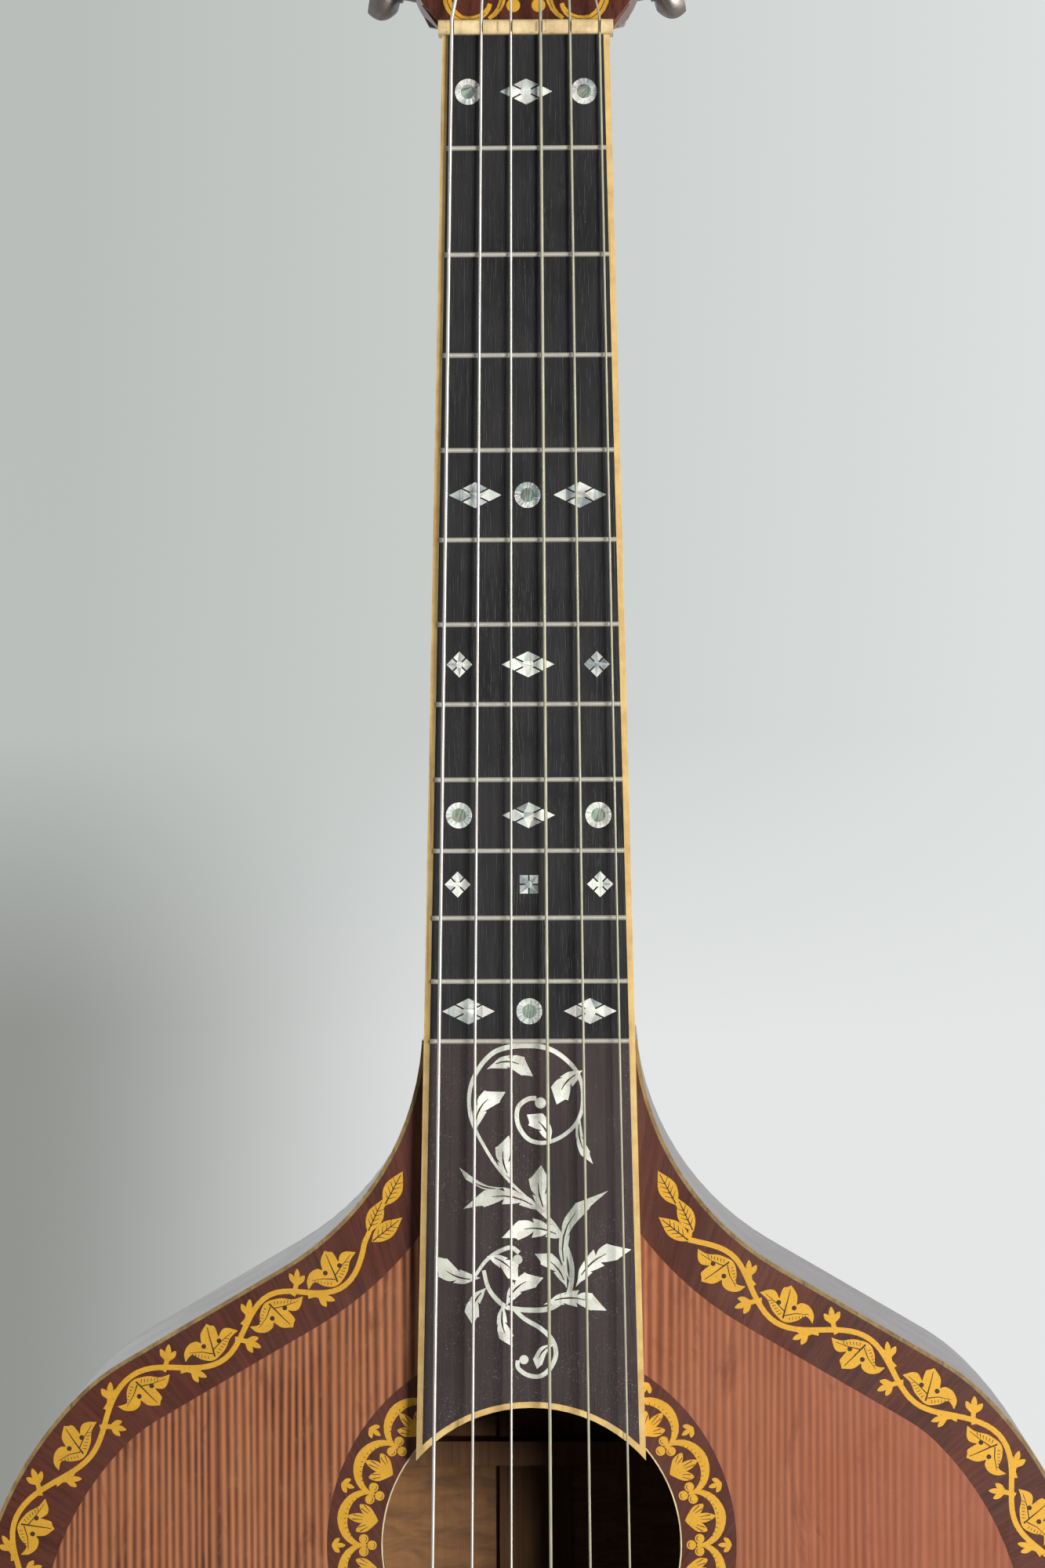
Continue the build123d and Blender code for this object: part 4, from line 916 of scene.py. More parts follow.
NODE_FINISHES = {
    "soundboard": "spruce_top", "rosewood_border": "border", "rosette_ring": "border",
    "top_binding": "edge_line", "back_binding": "edge_line", "rib_right": "rosewood", "rib_left": "rosewood",
    "back": "back", "back_stripe": "maple_stripe", "neck_block": "mahogany", "tail_block": "mahogany",
    "linings": "spruce_inside", "top_braces": "spruce_inside", "back_braces": "spruce_inside",
    "back_centre_strip": "spruce_inside", "bridge_plate": "maple_stripe", "end_pin": "ebony",
    "neck": "mahogany", "heel_cap": "ebony", "head_veneer": "rosewood", "fretboard": "ebony",
    "fretboard_extension": "extension", "fretboard_binding": "celluloid", "pearl_lozenges": "pearl",
    "pearl_rings": "pearl", "shell_dots": "shell", "vine_inlay": "white_pearl", "frets": "nickel_silver",
    "nut": "bone", "saddle": "bone", "bridge": "ebony", "bridge_pins": "bone",
    "tuner_plate_right": "nickel_plate", "tuner_plate_left": "nickel_plate", "plate_screws": "steel",
    "post_bushings": "bone", "string_1": "gut", "string_2": "gut", "string_3": "gut",
    "string_4": "wound", "string_5": "wound", "string_6": "wound",
}


# ---- the painted and inlaid ornament ----

# One leaf of the painted vine from its base, in millimetres: X along the edge, Y away from the stem.
LEAF = (
    (0, 0.3), (-1.4, 1.7), (-3.1, 4.2), (-4.2, 7.5), (-6.4, 10.0, 1), (-3.3, 10.6), (-1.4, 9.9),
    (-0.4, 7.5, 1), (1.1, 10.6), (2.5, 10.9), (3.8, 11.3, 1), (5.3, 8.1), (4.9, 5.0, 1), (6.7, 5.4),
    (8.9, 4.1), (10, 1.4), (9.4, -1.3, 1), (7.5, 1.1), (4.5, 0), (1.7, -0.3),
)
LEAF_EYES = ((-0.7, 6.3), (4.0, 4.1))
LEAF_TIP = (3.4, 10.2)
# How far a leaf and a sprig lean, in degrees.
LEAF_TURN = 35.0
SPRIG_TURN = 36
# Where the two sprigs grow between one leaf and the next, as shares of the way.
SPRIG_SHARES = (0.42, 0.62)
# Spacing of the stem's points, and how near the tail the last leaf may come, in millimetres.
STEM_STEP = 2.2
LAST_LEAF = 9
# Leaf middles along the border's middle line from the neck, and the side that its first leaf is on
# (1 outer, -1 inner), for the bass and treble sides.
LEAF_PLACES = {
    -1: (70.8, (84.5, 106.6, 129.9, 155.6, 183.1, 212.3), 1),
    1: (68.5, (82.1, 106.3, 133.1, 158.4, 184.3, 209.8), -1),
}
# Three veined leaves end the vine at the neck on the treble side: base, tip and width.
END_LEAVES = (
    ((46.3, -369.9), (40.4, -358.9), 5.6), ((51.6, -378.3), (46.6, -367.6), 5.0),
    ((50.4, -381.3), (40.6, -373.6), 5.2),
)
END_STEM = ((52.3, -383.5), (50.8, -377.5), (46.2, -369.0))

VINE_MAIN = (
    (6.2, -373.9), (2, -369.7), (-5.2, -363), (-10.6, -356.8), (-15, -349.6), (-17.7, -344.2), (-19, -339.2),
    (-18.9, -333), (-16.7, -327.1), (-12.7, -322.1), (-8.7, -319.9), (-2.8, -318.9), (3.9, -319.3),
    (9.3, -321.6), (14.3, -326.3), (16.5, -331.5), (16.7, -337), (16, -340.7), (13.7, -344.7),
    (9.2, -348.1), (4.3, -349.6), (-0.2, -348.6), (-3.1, -345.2), (-4.1, -341.5), (-3.4, -338),
    (-0.6, -335.8), (2.1, -335.5),
)
VINE_TRUNK = (
    (2.5, -370.4), (6.2, -373.9), (9.1, -377.9), (11.3, -382.3), (13.1, -388.8), (12.5, -395.9),
    (10.3, -399.2), (5.8, -401.9), (0.4, -402.4), (-5.3, -401.9), (-8.5, -400.9), (-12, -397.4),
    (-13.7, -394.2), (-14.7, -389.8),
)
VINE_SCROLL = ((-17.4, -391.5), (-14.2, -387), (-10.7, -384.3), (-6.2, -382.6), (-3.5, -384.3))
VINE_TAIL = (
    (-5.3, -401.9), (-1.9, -405.1), (3.1, -408.1), (6.8, -411.8), (8, -416.3), (6.2, -420.7), (3, -423.2),
    (-0.9, -422.9), (-3.9, -420.7), (-4.1, -418.2),
)
VINE_STEMS = (
    (VINE_MAIN, (0.8, 1.0, 1.3, 1.7, 1.2, 1.2, 1.4, 1.5)), (VINE_TRUNK, (1.2, 1.5, 1.7, 1.5, 1.2)),
    (VINE_SCROLL, (1.0, 1.3, 1.4)), (VINE_TAIL, (1.3, 1.5, 1.4, 1.3)),
)
VINE_BALLS = ((3.4, -337, 1.75), (-4.0, -386.4, 1.5), (-2.1, -418.0, 1.45))
# Leaves of the pearl vine: base, tip, width, bend to the left of its own direction, and lobes on a side.
VINE_LEAVES = (
    ((-13.5, -326.3), (1.1, -328.6), 6.4, 0.22, 2), ((16.7, -326.8), (8.5, -337.5), 7.4, -0.16, 2),
    ((-17.0, -345.7), (-7.6, -333.5), 6.7, 0.2, 2), ((6.5, -349.6), (-0.9, -340.7), 6.4, -0.16, 2),
    ((16.0, -340.7), (19.9, -356.3), 3.5, -0.14, 2), ((-5.4, -361.5), (-6.6, -347.2), 5.9, 0.16, 2),
    ((-7.9, -363.7), (-22.3, -357.3), 2.7, 0.16, 1), ((4.9, -372.2), (-21.1, -370.4), 5.9, -0.2, 3),
    ((5.7, -372.4), (3.5, -356.6), 6.7, 0.1, 2), ((11.6, -380.3), (-9.0, -379.6), 6.7, -0.18, 3),
    ((12.5, -393.7), (24.8, -364.7), 5.0, 0.24, 2), ((14.3, -395.2), (31.9, -383.3), 6.7, 0.16, 3),
    ((-15.7, -392.2), (-30.3, -385.3), 6.9, 0.16, 2), ((-13.7, -385.3), (-3.8, -393.2), 5.9, 0.12, 2),
    ((11.5, -395.5), (1.4, -384.6), 5.4, -0.16, 2), ((-7.8, -401.2), (4.1, -392.2), 6.4, 0.16, 2),
    ((-13.7, -395.2), (-18.2, -407.1), 5.4, -0.18, 2), ((-8.5, -400.2), (-5.6, -414.0), 5.0, -0.14, 2),
    ((4.1, -400.7), (24.1, -402.6), 5.9, 0.14, 3), ((7.5, -413.0), (2.0, -421.0), 5.0, -0.2, 1),
)


def edge_place(distance, inset, side):
    """A point so far along the border's middle line from the neck and so far in, in millimetres."""
    middle = bpy.context.scene.lute_gilding.border_inset
    x, y = EDGE_START
    heading = math.radians(EDGE_HEADING)
    for size, degrees in EDGE_RUNS:
        turn = math.radians(degrees)
        outer = size * abs(turn) if turn else size
        inner = outer + middle * turn
        share = min(distance / inner, 1.0)
        half = turn * share / 2
        chord = 2 * size * math.sin(abs(half)) if turn else size * share
        x += math.sin(heading + half) * chord
        y -= math.cos(heading + half) * chord
        heading += turn * share
        distance -= inner
        if share < 1:
            break
    return Vector(((x - math.cos(heading) * inset) * side, y - math.sin(heading) * inset))


def border_length():
    """Length of the border's middle line from the neck to the tail."""
    middle = bpy.context.scene.lute_gilding.border_inset
    length = 0
    for size, degrees in EDGE_RUNS:
        turn = math.radians(degrees)
        length += size * abs(turn) + middle * turn if turn else size
    return length


def petal(length, width):
    """Outline of a rounded petal from its base, along Y."""
    half = width / 2
    return smooth_outline((
        (0, 0, 1), (half * 0.55, length * 0.25), (half, length * 0.66), (0, length), (-half, length * 0.66),
        (-half * 0.55, length * 0.25),
    ))


def veined_leaf(gold, ink, base, tip, width):
    """A plain pointed leaf with its veins."""
    along = Vector(tip) - Vector(base)
    heading = math.degrees(math.atan2(along.y, along.x))
    length, half = along.length, width / 2
    shape = ((0, 0, 1), (length * 0.24, half * 0.8), (length * 0.56, half), (length, 0, 1),
             (length * 0.56, -half), (length * 0.24, -half * 0.8))
    gold.outline(turned(smooth_outline(shape), heading, base))
    ink.stroke(turned(((length * 0.05, 0), (length * 0.9, 0)), heading, base), (0.42, 0.24))
    for step in (0.2, 0.34, 0.48, 0.62):
        for side in (-1, 1):
            rib = ((length * step, 0), (length * (step + 0.14), side * half * 0.66))
            ink.stroke(turned(rib, heading, base), (0.26, 0.14))


def border_leaf(gold, ink, distance, base_inset, way, side):
    """One lobed leaf of the vine; way is -1 where it grows outward and 1 inward."""
    def laid(points):
        spots = turned(points, LEAF_TURN)
        return [edge_place(distance + p.x + 1.5, base_inset + way * p.y, side) for p in spots]

    gold.outline(laid(smooth_outline(LEAF)))
    ink.stroke(laid([(0.2, 1.2), (1.2, 4.0), (2.4, 7.2), LEAF_TIP]), (0.55, 0.35, 0.2))
    ink.stroke(laid([(0.8, 3.4), (-1.6, 6.4), (-4.6, 9.4)]), (0.35, 0.15))
    ink.stroke(laid([(0.9, 2.0), (4.4, 2.3), (8.4, 1.6)]), (0.35, 0.15))
    for eye in LEAF_EYES:
        ink.outline(laid(circle(eye, 0.78, 14)))
    for step in range(6):
        for hatch in (
            [(-3.9 + step * 0.55, 7.2 - step * 0.95), (-2.6 + step * 0.5, 7.2 - step * 0.85)],
            [(2.2 + step * 1.05, 0.35 + step * 0.1), (2.3 + step * 1.0, 1.35 + step * 0.05)],
        ):
            ink.stroke(laid(hatch), (0.26, 0.12))


def sprig(gold, distance, inset, way, side):
    """Three fingers on a short stalk growing off the stem, leaning back to the neck."""
    for spread, length in ((-34, 4.6), (0, 5.6), (34, 4.4)):
        spots = turned(turned(petal(length, 1.8), spread, (0, 1.7)), SPRIG_TURN)
        gold.outline([edge_place(distance + p.x, inset + way * p.y, side) for p in spots])
    stalk = turned(((1.2, -1.2), (0.3, 0.8), (0, 3.4)), SPRIG_TURN)
    gold.stroke([edge_place(distance + p.x, inset + way * p.y, side) for p in stalk], (2.4, 1.5, 1.6))


def painted_vine(gold, ink, side):
    """The running vine of one side of the border, from the neck to the tail."""
    sizes = bpy.context.scene.lute_gilding
    start, seen, first = LEAF_PLACES[side]
    places = list(seen)
    length = border_length()
    gap = (length - places[-1]) / round((length - places[-1]) / sizes.leaf_gap)
    while places[-1] + gap < length - LAST_LEAF:
        places.append(places[-1] + gap)
    ends = [places[0] - gap, *places, places[-1] + gap]

    def stem_inset(distance):
        for k in range(len(ends) - 1):
            if distance <= ends[k + 1]:
                share = (distance - ends[k]) / (ends[k + 1] - ends[k])
                return sizes.swing_middle + sizes.swing * first * (-1) ** (k + 1) * math.cos(math.pi * share)
        return sizes.swing_middle

    steps = int((length - start) / STEM_STEP)
    run = [start + (length - start) * i / steps for i in range(steps + 1)]
    line = [edge_place(d, stem_inset(d), side) for d in run]
    gold.stroke(line, (sizes.stem_width, sizes.stem_width))
    for k, place in enumerate(places):
        outer = first * (-1) ** k
        border_leaf(gold, ink, place, sizes.swing_middle + outer * (sizes.swing - 1.2), -outer, side)
        following = places[k + 1] - place if k + 1 < len(places) else 0
        if following:
            for share, way in zip(SPRIG_SHARES, (outer, -outer)):
                sprig(gold, place + following * share, stem_inset(place + following * share), way, side)
    for base, tip, width in END_LEAVES:
        veined_leaf(gold, ink, (base[0] * side, base[1]), (tip[0] * side, tip[1]), width)
    gold.stroke([line[0], *(Vector((x * side, y)) for x, y in END_STEM[1:])], (sizes.stem_width, 1.1))


# Distances from the middle of the hole, in millimetres: the crescents' ends, the foot of the palmettes and
# of the buds, and the pale line at the hole's edge; with the crescents' half width and height.
CRESCENT_REACH = 53.2
CRESCENT_HALF = (8.5, 7.4)
PALMETTE_REACH = 49.2
BUD_REACH = 63.4
RIM_REACH = 47.4
BEADS = ((-2.0, CRESCENT_REACH), (2.0, CRESCENT_REACH), (0, 50.6))
BEAD_RADIUS = 1.52
# The fretboard hides the steps of the rosette within this angle of the neck, in degrees.
HIDDEN_ANGLE = 30


def rosette_unit(gold, ink, angle):
    """Crescent, palmette, beads and bud of one step round the hole, drawn from its middle."""
    middle = Vector((HOLE[0], HOLE[1])) / MM

    def laid(points):
        return turned(points, angle, middle)

    arc = [math.radians(a) for a in range(-12, 193, 12)]
    half, height = CRESCENT_HALF
    crescent = [(half * math.cos(a), CRESCENT_REACH + height * math.sin(a)) for a in arc]
    gold.stroke(laid(crescent), (0.7, 2.3, 3.4, 2.3, 0.7))
    for place in arc[4:-4]:
        across, up = math.cos(place), math.sin(place)
        hatch = [(reach * across, CRESCENT_REACH + (reach - 0.9) * up) for reach in (7.2, 7.8)]
        ink.stroke(laid(hatch), (0.26, 0.14))
    for turn, length in ((-33, 7.8), (0, 9.8), (33, 7.8)):
        gold.outline(laid(turned(petal(length, 3.0), turn, (0, PALMETTE_REACH))))
        for bend in (-0.4, 0.5):
            vein = ((bend * 0.9, length * 0.5), (bend * 1.6, length * 0.84))
            ink.stroke(laid(turned(vein, turn, (0, PALMETTE_REACH))), (0.14, 0.3))
    joint = angle + 180 / bpy.context.scene.lute_gilding.rosette_units
    for x, y in BEADS:
        gold.outline(turned(circle((x, y), BEAD_RADIUS, 16), joint, middle))
        shade = [(x + 0.95 * math.cos(a), y + 0.95 * math.sin(a)) for a in (3.6, 4.3, 5.0, 5.7)]
        ink.stroke(turned(shade, joint, middle), (0.16, 0.28, 0.16))
    for turn, length in ((138, 3.4), (180, 4.4), (222, 3.4)):
        gold.outline(turned(turned(petal(length, 1.5), turn, (0, BUD_REACH)), joint, middle))


def acanthus(pearl, ink, base, tip, width, bend, lobes):
    """A pointed leaf with forward-leaning lobes and a dark midrib."""
    base, tip = Vector(base), Vector(tip)
    along = tip - base
    length = along.length
    angle = math.degrees(math.atan2(along.y, along.x))

    def bent(x, y):
        return (x, y + bend * length * 4 * (x / length) * (1 - x / length))

    def flank(side):
        points = []
        for k in range(lobes):
            start, step = 0.1 + 0.62 * k / lobes, 0.62 / lobes
            swell = (0.75 if k else 0.55) * (1.0 if side > 0 else 0.86)
            points.append((*bent(length * start, side * width * (0.2 if k else 0.1)), 1))
            points.append(bent(length * (start + step * 0.45), side * width * 0.52 * swell))
            points.append((*bent(length * (start + step * 1.12), side * width * 0.66 * swell), 1))
        points.append(bent(length * 0.8, side * width * 0.34))
        return points

    shape = [(0, 0, 1), *flank(1), (length, 0, 1), *reversed(flank(-1))]
    pearl.outline(turned(smooth_outline(shape, 5), angle, base))
    rib = [bent(length * share, width * 0.04) for share in (0.17, 0.28, 0.4, 0.52, 0.66)]
    ink.stroke(turned(rib, angle, base), (0.3, 0.55, 0.2))


def head_scrolls(gold, ink):
    """Gilded scrolls and leaves on the front of the head."""
    for side in (-1, 1):
        spiral = []
        for step in range(27):
            angle = math.radians(-60 + step * 15)
            radius = 8.9 if step < 20 else 8.9 - (step - 20) * 0.55
            spiral.append(Vector(((16.2 - radius * math.cos(angle)) * side, 8.6 + radius * math.sin(angle))))
        gold.stroke(spiral, (1.2, 2.9, 3.0, 2.6, 1.4))
        ink.stroke(spiral[2:-2], (0.2, 0.34, 0.2))
        gold.outline(circle((4.0 * side, 5.2), 2.2))
        for turn, length in ((-52, 8.5), (-16, 10.5), (20, 8.5)):
            gold.outline(turned(petal(length, 3.0), turn * side, (5.0 * side, 15.0)))
            ink.stroke(turned(((0, 2.5), (0, length - 2)), turn * side, (5.0 * side, 15.0)), (0.4, 0.2))
        for k in range(3):
            height = 34 + k * 19.0
            twig = [(0, height - 12), (3.4 * side, height - 4), (8.4 * side, height + 1)]
            gold.stroke(smooth_line(twig, 5), (1.4, 0.8))
            for turn, length in ((-74, 6.4), (-38, 7.6), (-4, 6.4)):
                gold.outline(turned(petal(length, 2.6), turn * side, (4.4 * side, height - 2)))
    gold.stroke([Vector((0, 15 + 3 * k)) for k in range(24)], (1.6, 1.4, 1.0))
    for turn in (-50, -25, 0, 25, 50):
        gold.outline(turned(petal(9.5, 2.9), turn, (0, 84)))


# ---- operators ----


class LUTE_OT_finishes(Operator):
    """Give every CAD part its wood, metal, bone or pearl"""

    bl_idname = "lute.finishes"
    bl_label = "Finishes"

    def execute(self, context):
        for name, key in NODE_FINISHES.items():
            data = NODES[name].data
            for place in range(len(data.materials)):
                data.materials[place] = finish_for(key)
        return {"FINISHED"}


class LUTE_OT_board_end(Operator):
    """Make the rosewood end of the fretboard with the pearl vine let into it"""

    bl_idname = "lute.board_end"
    bl_label = "Board end and pearl vine"

    ARC_DROP = 3.6
    ARC_STEPS = 40
    EASED = 0.12
    PEARL_LIFT = 0.03

    def execute(self, context):
        low, high = (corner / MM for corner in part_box("fretboard_extension"))
        slope = (high.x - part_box("fretboard")[1].x / MM) / (high.z - low.z)
        upper = high.x - slope * (high.z - low.z)
        reach = HOLE[1] / MM - self.ARC_DROP
        radius = math.hypot(high.x, low.z - reach)
        sweep = math.asin(high.x / radius)
        arc = [sweep - 2 * sweep * i / self.ARC_STEPS for i in range(self.ARC_STEPS + 1)]
        outline = [(-upper, high.z), (upper, high.z)]
        outline += [(radius * math.sin(a), reach + radius * math.cos(a)) for a in arc]
        board = Sheet(face_plane(FACE_Y), FACE_Y / MM - low.y)
        board.outline(outline)
        wood = board.done("board_end", "extension")
        bevel = wood.modifiers.new("Eased edge", "BEVEL")
        bevel.width = self.EASED * MM
        bevel.segments = 2
        bevel.limit_method = "ANGLE"
        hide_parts("fretboard_extension")
        pearl = Sheet(face_plane(BOARD_Y), self.PEARL_LIFT)
        ink = Sheet(face_plane(BOARD_Y), self.PEARL_LIFT + INK_LIFT)
        for stem, widths in VINE_STEMS:
            pearl.stroke(smooth_line(stem, 5), widths)
        for leaf in VINE_LEAVES:
            acanthus(pearl, ink, *leaf)
        for x, y, radius in VINE_BALLS:
            pearl.outline(circle((x, y), radius, 24))
        vine = pearl.done("pearl_vine", "white_pearl")
        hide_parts("vine_inlay")
        ink.done("pearl_vine_lines", "ink")
        return {"FINISHED"}


class LUTE_OT_border_vine(Operator):
    """Paint the gold vine on the rosewood border"""

    bl_idname = "lute.border_vine"
    bl_label = "Border vine"

    def execute(self, context):
        thickness = context.scene.lute_gilding.thickness
        for side, name in ((1, "treble"), (-1, "bass")):
            gold = Sheet(face_plane(FACE_Y), thickness)
            ink = Sheet(face_plane(FACE_Y), thickness + INK_LIFT)
            painted_vine(gold, ink, side)
            gold.done(f"gold_vine_{name}", "gilding")
            ink.done(f"gold_vine_{name}_lines", "ink")
        return {"FINISHED"}


class LUTE_OT_rosette(Operator):
    """Paint the gold crescents, palmettes and beads round the hole"""

    bl_idname = "lute.rosette"
    bl_label = "Rosette"

    def execute(self, context):
        sizes = context.scene.lute_gilding
        gold = Sheet(face_plane(FACE_Y), sizes.thickness)
        ink = Sheet(face_plane(FACE_Y), sizes.thickness + INK_LIFT)
        for unit in range(sizes.rosette_units):
            angle = (unit + 0.5) * 360 / sizes.rosette_units
            if HIDDEN_ANGLE < angle < 360 - HIDDEN_ANGLE:
                rosette_unit(gold, ink, angle)
        gold.done("gold_rosette", "gilding")
        # A pale line laid round the hole's edge; the bone finish only gives it its pale colour.
        rim = Sheet(face_plane(FACE_Y), sizes.thickness)
        middle = Vector(HOLE) / MM
        arc = [math.radians(a) for a in range(50, 311, 4)]
        rim.stroke([middle + Vector((math.sin(a), math.cos(a))) * RIM_REACH for a in arc], (0.45, 0.45))
        rim.done("hole_line", "bone")
        ink.done("gold_rosette_lines", "ink")
        return {"FINISHED"}


class LUTE_OT_head_scrolls(Operator):
    """Paint the gold scrolls on the front of the head"""

    bl_idname = "lute.head_scrolls"
    bl_label = "Head scrolls"

    def execute(self, context):
        thickness = context.scene.lute_gilding.thickness
        gold = Sheet(head_plane(), thickness)
        ink = Sheet(head_plane(), thickness + INK_LIFT)
        head_scrolls(gold, ink)
        gold.done("gold_head", "gilding")
        ink.done("gold_head_lines", "ink")
        return {"FINISHED"}


class LUTE_OT_tuners(Operator):
    """Make the posts, gears, worms and pressed oval buttons, and wind the strings on"""

    bl_idname = "lute.tuners"
    bl_label = "Tuners and windings"

    # A button's outline in millimetres: distance along its shaft, and its long and short half widths there.
    BUTTON = (
        (0, 4.0, 3.1), (0.5, 5.0, 4.1), (2.2, 7.0, 5.4), (4.5, 8.0, 5.9), (6.6, 7.9, 5.6), (8.0, 7.1, 4.8),
        (8.7, 6.2, 3.8), (9.0, 4.8, 2.6),
    )
    BUTTON_SIDES = 40
    # From the worm's middle to the button's inner face.
    SHOULDER = 15.2
    # A plate is cut at this place across and up from the nut, square to this slope.
    PLATE_CUT = (29.2, 2)
    PLATE_SLOPE = (9.5, -4.9)
    # From the front of the head to the foot of the drum.
    DRUM_FOOT = 4.0
    # A string leaves its post through a gap this many radii each side of the drum's middle.
    WINDING_GAP = 2.2
    WINDING_STEPS = 20
    # Neighbouring turns are this much slimmer than their spacing, so that they lie side by side.
    TURN_SHARE = 0.96

    def button(self, name, joint, out):
        """An oval button on the end of its shaft."""
        axis = Vector(joint["axis"])
        start = Vector(joint["pos_m"]) + axis * self.SHOULDER * MM
        across = out.cross(axis).normalized()
        up = axis.cross(across)
        mesh = bmesh.new()
        rings = []
        for distance, long, short in self.BUTTON:
            centre = start + axis * distance * MM
            angles = full_turn(self.BUTTON_SIDES)
            spokes = [across * math.cos(a) * long + up * math.sin(a) * short for a in angles]
            rings.append([mesh.verts.new(centre + spoke * MM) for spoke in spokes])
        skin(mesh, rings)
        finish_object(f"button_{name}", mesh, "amber_celluloid", joint["child"], 40)

    def plate(self, side, way):
        """A tuner plate, its lower outer corner cut off to follow the head."""
        mesh = loose_solids(f"tuner_plate_{side}")[0]
        corner = Vector((self.PLATE_CUT[0] * way, 0, self.PLATE_CUT[1])) * MM
        slope = Vector((self.PLATE_SLOPE[0] * way, 0, self.PLATE_SLOPE[1]))
        geometry = [*mesh.verts, *mesh.edges, *mesh.faces]
        cut = bmesh.ops.bisect_plane(mesh, geom=geometry, plane_co=corner, plane_no=slope, clear_outer=True)
        bmesh.ops.holes_fill(mesh, edges=[e for e in cut["geom_cut"] if isinstance(e, bmesh.types.BMEdge)])
        piece = finish_object(f"plate_{side}", mesh, "nickel_plate", "root", SHARP_EDGE)
        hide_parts(f"tuner_plate_{side}")

    def winding(self, name, joint, radius, key):
        """Turns of string round a post, above and below where the string leaves it."""
        sizes = bpy.context.scene.lute_strings
        axis = Vector(joint["axis"])
        side = axis.orthogonal().normalized()
        other = axis.cross(side)
        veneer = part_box("head_veneer")
        foot = Vector(joint["pos_m"])
        front = (Vector((0, veneer[0].y, veneer[0].z)) - foot).dot(axis)
        low = front / MM + self.DRUM_FOOT
        middle = low + sizes.winding_length / 2
        around = sizes.winding_radius + radius
        gap = self.WINDING_GAP * radius
        high = low + sizes.winding_length
        mesh = bmesh.new()
        for bottom, top in ((low + radius, middle - gap), (middle + gap, high - radius)):
            count = max(1.0, (top - bottom) / (2 * radius))
            steps = int(count * self.WINDING_STEPS)
            path = []
            for i in range(steps + 1):
                angle = 2 * math.pi * count * i / steps
                height = bottom + (top - bottom) * i / steps
                spoke = side * math.cos(angle) + other * math.sin(angle)
                path.append(foot + axis * height * MM + spoke * around * MM)
            tube(mesh, path, radius * self.TURN_SHARE * MM)
        finish_object(f"winding_{name}", mesh, key, joint["child"], ALL_SMOOTH)

    def execute(self, context):
        joints = {j["name"]: j for j in frame["joints"]}
        for side, way in (("right", 1), ("left", -1)):
            self.plate(side, way)
        for side, first, step, key in (("right", 1, 1, "gut"), ("left", 6, -1, "wound")):
            for k in (1, 2, 3):
                name = f"{side}_{k}"
                turn, post = joints[f"turn_button_{name}"], joints[f"turn_post_{name}"]
                worm = loose_solids(f"tuner_button_{name}")[0]
                body = turn["child"]
                shaft = finish_object(f"worm_{name}", worm, "steel", body, SHARP_EDGE)
                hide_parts(f"tuner_button_{name}")
                self.button(name, turn, Vector(post["axis"]))
                gear, screw = loose_solids(f"string_post_{name}")[:2]
                body = post["child"]
                wheel = finish_object(f"post_{name}", gear, "nickel_plate", body, SHARP_EDGE)
                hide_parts(f"string_post_{name}")
                finish_object(f"gear_screw_{name}", screw, "steel", body, SHARP_EDGE)
                self.winding(name, post, STRING_RADII[first + step * (k - 1)], key)
        return {"FINISHED"}


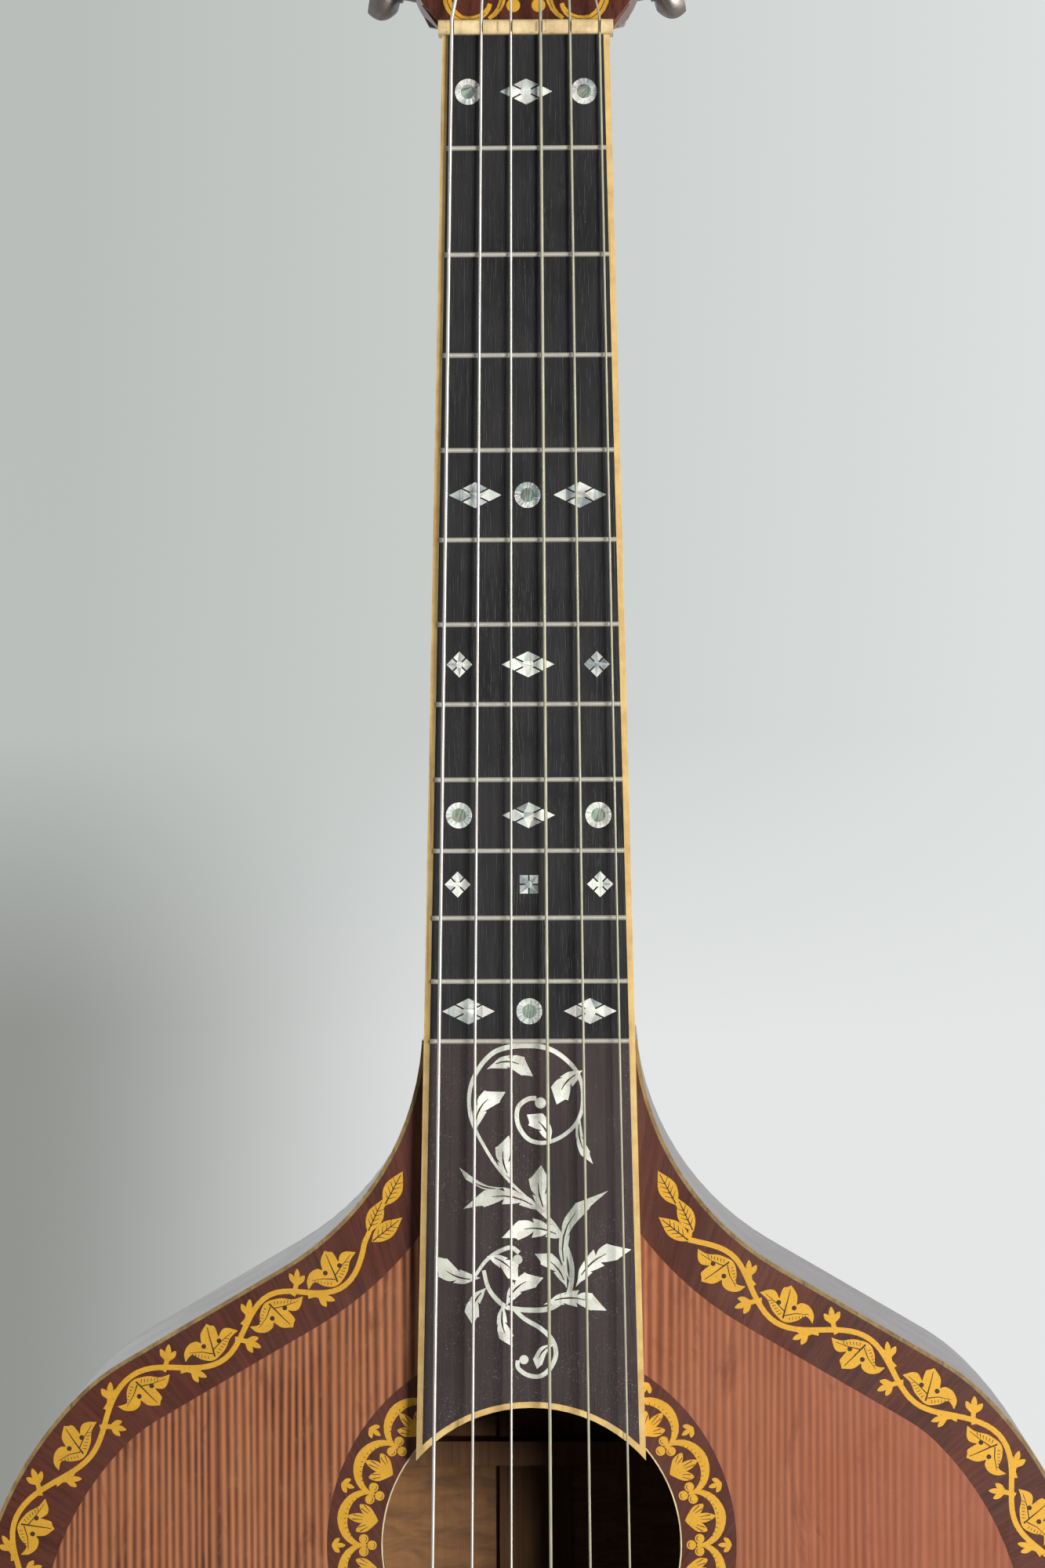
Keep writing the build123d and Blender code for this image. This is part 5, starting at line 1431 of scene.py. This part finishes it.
class LUTE_OT_stage(Operator):
    """Set the floor, backdrop, lights and camera"""

    bl_idname = "lute.stage"
    bl_label = "Stage"

    LIT_HEIGHT = -0.3
    SENSOR = 36

    def paper(self):
        """Pale seamless paper that glows with painted light, darker on the left and lower down with painted
        shade.
        """
        finish = Finish("Glowing paper with painted shade", specular_ior_level=0.1)
        tree = finish.tree
        depth = plus(tree, maths(tree, "MAXIMUM", finish.part("Y"), 0.0), 1.5)
        across = maths(tree, "DIVIDE", finish.part("X"), depth)
        # Darker on the left and lower down: painted shade.
        left, whole = span(tree, across, -0.125, -0.01), span(tree, across, -0.11, 0.11)
        left.node.interpolation_type = "SMOOTHSTEP"
        height = span(tree, finish.part("Z"), -0.85, -0.1)
        fibre = noise(tree, finish.object, 900, 3, 0.6)
        low = mixed(tree, left, (0.265, 0.27, 0.255), (0.80, 0.82, 0.81))
        shade = mixed(tree, height, low, mixed(tree, whole, (0.52, 0.55, 0.53), (0.78, 0.81, 0.80)))
        # The paper's brightness comes mostly from its own glow: painted light.
        finish.join("Base Color", mixed(tree, 0.85, shade, (0.0, 0.0, 0.0)))
        finish.join("Emission Color", shade)
        finish.shader.inputs["Emission Strength"].default_value = 0.9
        finish.join("Roughness", span(tree, fibre, 0, 1, 0.8, 0.95))
        return finish.material

    def backdrop(self, floor):
        """A floor that curves up into a round wall, far outside any view's camera."""
        profile = [(0.0, floor), (3.0, floor), (7.0, floor)]
        cove = [math.pi / 32 * k for k in range(17)]
        profile += [(9.0 + 3 * math.sin(a), floor + 3 - 3 * math.cos(a)) for a in cove]
        profile += [(12.0, floor + 6), (12.0, floor + 10)]
        mesh = bmesh.new()
        count = 96
        rings = []
        for radius, height in profile[1:]:
            spokes = [(radius * math.cos(a), radius * math.sin(a), height) for a in full_turn(count)]
            rings.append([mesh.verts.new(spoke) for spoke in spokes])
        centre = mesh.verts.new((0, 0, floor))
        for k in range(count):
            n = (k + 1) % count
            mesh.faces.new((centre, rings[0][k], rings[0][n]))
            for ring, following in zip(rings, rings[1:]):
                mesh.faces.new((ring[k], following[k], following[n], ring[n]))
        data = bpy.data.meshes.new("backdrop")
        mesh.to_mesh(data)
        mesh.free()
        data.shade_smooth()
        data.materials.append(self.paper())
        piece = linked("backdrop", data)
        piece.visible_shadow = False
        piece.visible_diffuse = False
        piece.visible_glossy = False
        return piece

    def away(self, turn, rise):
        """The way from the object to a viewer or light at this azimuth and elevation, in radians."""
        return Vector((math.sin(turn) * math.cos(rise), -math.cos(turn) * math.cos(rise), math.sin(rise)))

    def area_light(self, name, azimuth, elevation, distance, size, power, colour):
        """A square soft light aimed at the strings, its angles in degrees."""
        data = bpy.data.lights.new(name, "AREA")
        data.shape = "SQUARE"
        data.size = size
        data.energy = power
        data.color = colour
        piece = linked(name, data)
        away = self.away(math.radians(azimuth), math.radians(elevation))
        piece.location = Vector((0, 0, self.LIT_HEIGHT)) + away * distance
        piece.rotation_euler = away.to_track_quat("Z", "Y").to_euler()
        return piece

    def execute(self, context):
        scene, settings = context.scene, context.scene.lute_stage
        floor = self.backdrop(CAD_BOX[0].z - settings.floor_gap)
        key = self.area_light("key", 38, 4, 2.0, 0.7, settings.key_power, (1.0, 0.97, 0.92))
        fill = self.area_light("fill", -60, 30, 3.0, 2.0, 8.0, (0.92, 0.96, 1.0))
        world = bpy.data.worlds.new("Studio")
        world.use_nodes = True
        tree = world.node_tree
        sky = tree.nodes.new("ShaderNodeTexCoord").outputs["Generated"]
        toward = node(tree, "ShaderNodeSeparateXYZ", {0: sky})
        room = span(tree, toward.outputs["Y"], -0.95, -0.1, 0.05, settings.room_light)
        tree.nodes["Background"].inputs[0].default_value = (0.97, 0.99, 1.0, 1)
        tree.links.new(room, tree.nodes["Background"].inputs[1])
        scene.world = world
        scene.view_settings.view_transform = "Standard"
        data = bpy.data.cameras.new("camera")
        data.sensor_width = self.SENSOR
        data.lens = self.SENSOR * settings.distance / settings.view_height
        data.clip_end = 60
        camera = linked("camera", data)
        away = self.away(settings.azimuth, settings.elevation)
        camera.location = Vector((settings.aim_x, BOARD_Y, settings.aim_z)) + away * settings.distance
        level = away.to_track_quat("Z", "Y").to_matrix()
        camera.rotation_euler = (level @ Matrix.Rotation(settings.roll, 3, "Z")).to_euler()
        scene.camera = camera
        return {"FINISHED"}


OPERATORS = (
    LUTE_OT_finishes, LUTE_OT_board_end, LUTE_OT_border_vine, LUTE_OT_rosette, LUTE_OT_head_scrolls,
    LUTE_OT_tuners, LUTE_OT_stage,
)


class LUTE_PT_panel(Panel):
    """Sidebar panel with the settings and the steps"""

    bl_idname = "LUTE_PT_panel"
    bl_label = "Lute-guitar"
    bl_space_type = "VIEW_3D"
    bl_region_type = "UI"
    bl_category = "Lute-guitar"

    def draw(self, context):
        for name, group in SETTINGS.items():
            box = self.layout.box()
            box.label(text=group.__doc__)
            for key in group.__annotations__:
                box.prop(getattr(context.scene, name), key)
        for operator in OPERATORS:
            self.layout.operator(operator.bl_idname)


def register():
    for name, group in SETTINGS.items():
        bpy.utils.register_class(group)
        setattr(bpy.types.Scene, name, PointerProperty(type=group))
    for cls in (*OPERATORS, LUTE_PT_panel):
        bpy.utils.register_class(cls)


def unregister():
    for cls in reversed((*OPERATORS, LUTE_PT_panel)):
        bpy.utils.unregister_class(cls)
    for name, group in SETTINGS.items():
        delattr(bpy.types.Scene, name)
        bpy.utils.unregister_class(group)


def main():
    """Register the add-on and run its steps in order."""
    register()
    bpy.ops.lute.finishes()
    bpy.ops.lute.board_end()
    bpy.ops.lute.border_vine()
    bpy.ops.lute.rosette()
    bpy.ops.lute.head_scrolls()
    bpy.ops.lute.tuners()
    bpy.ops.lute.stage()


if __name__ == "__main__":
    main()
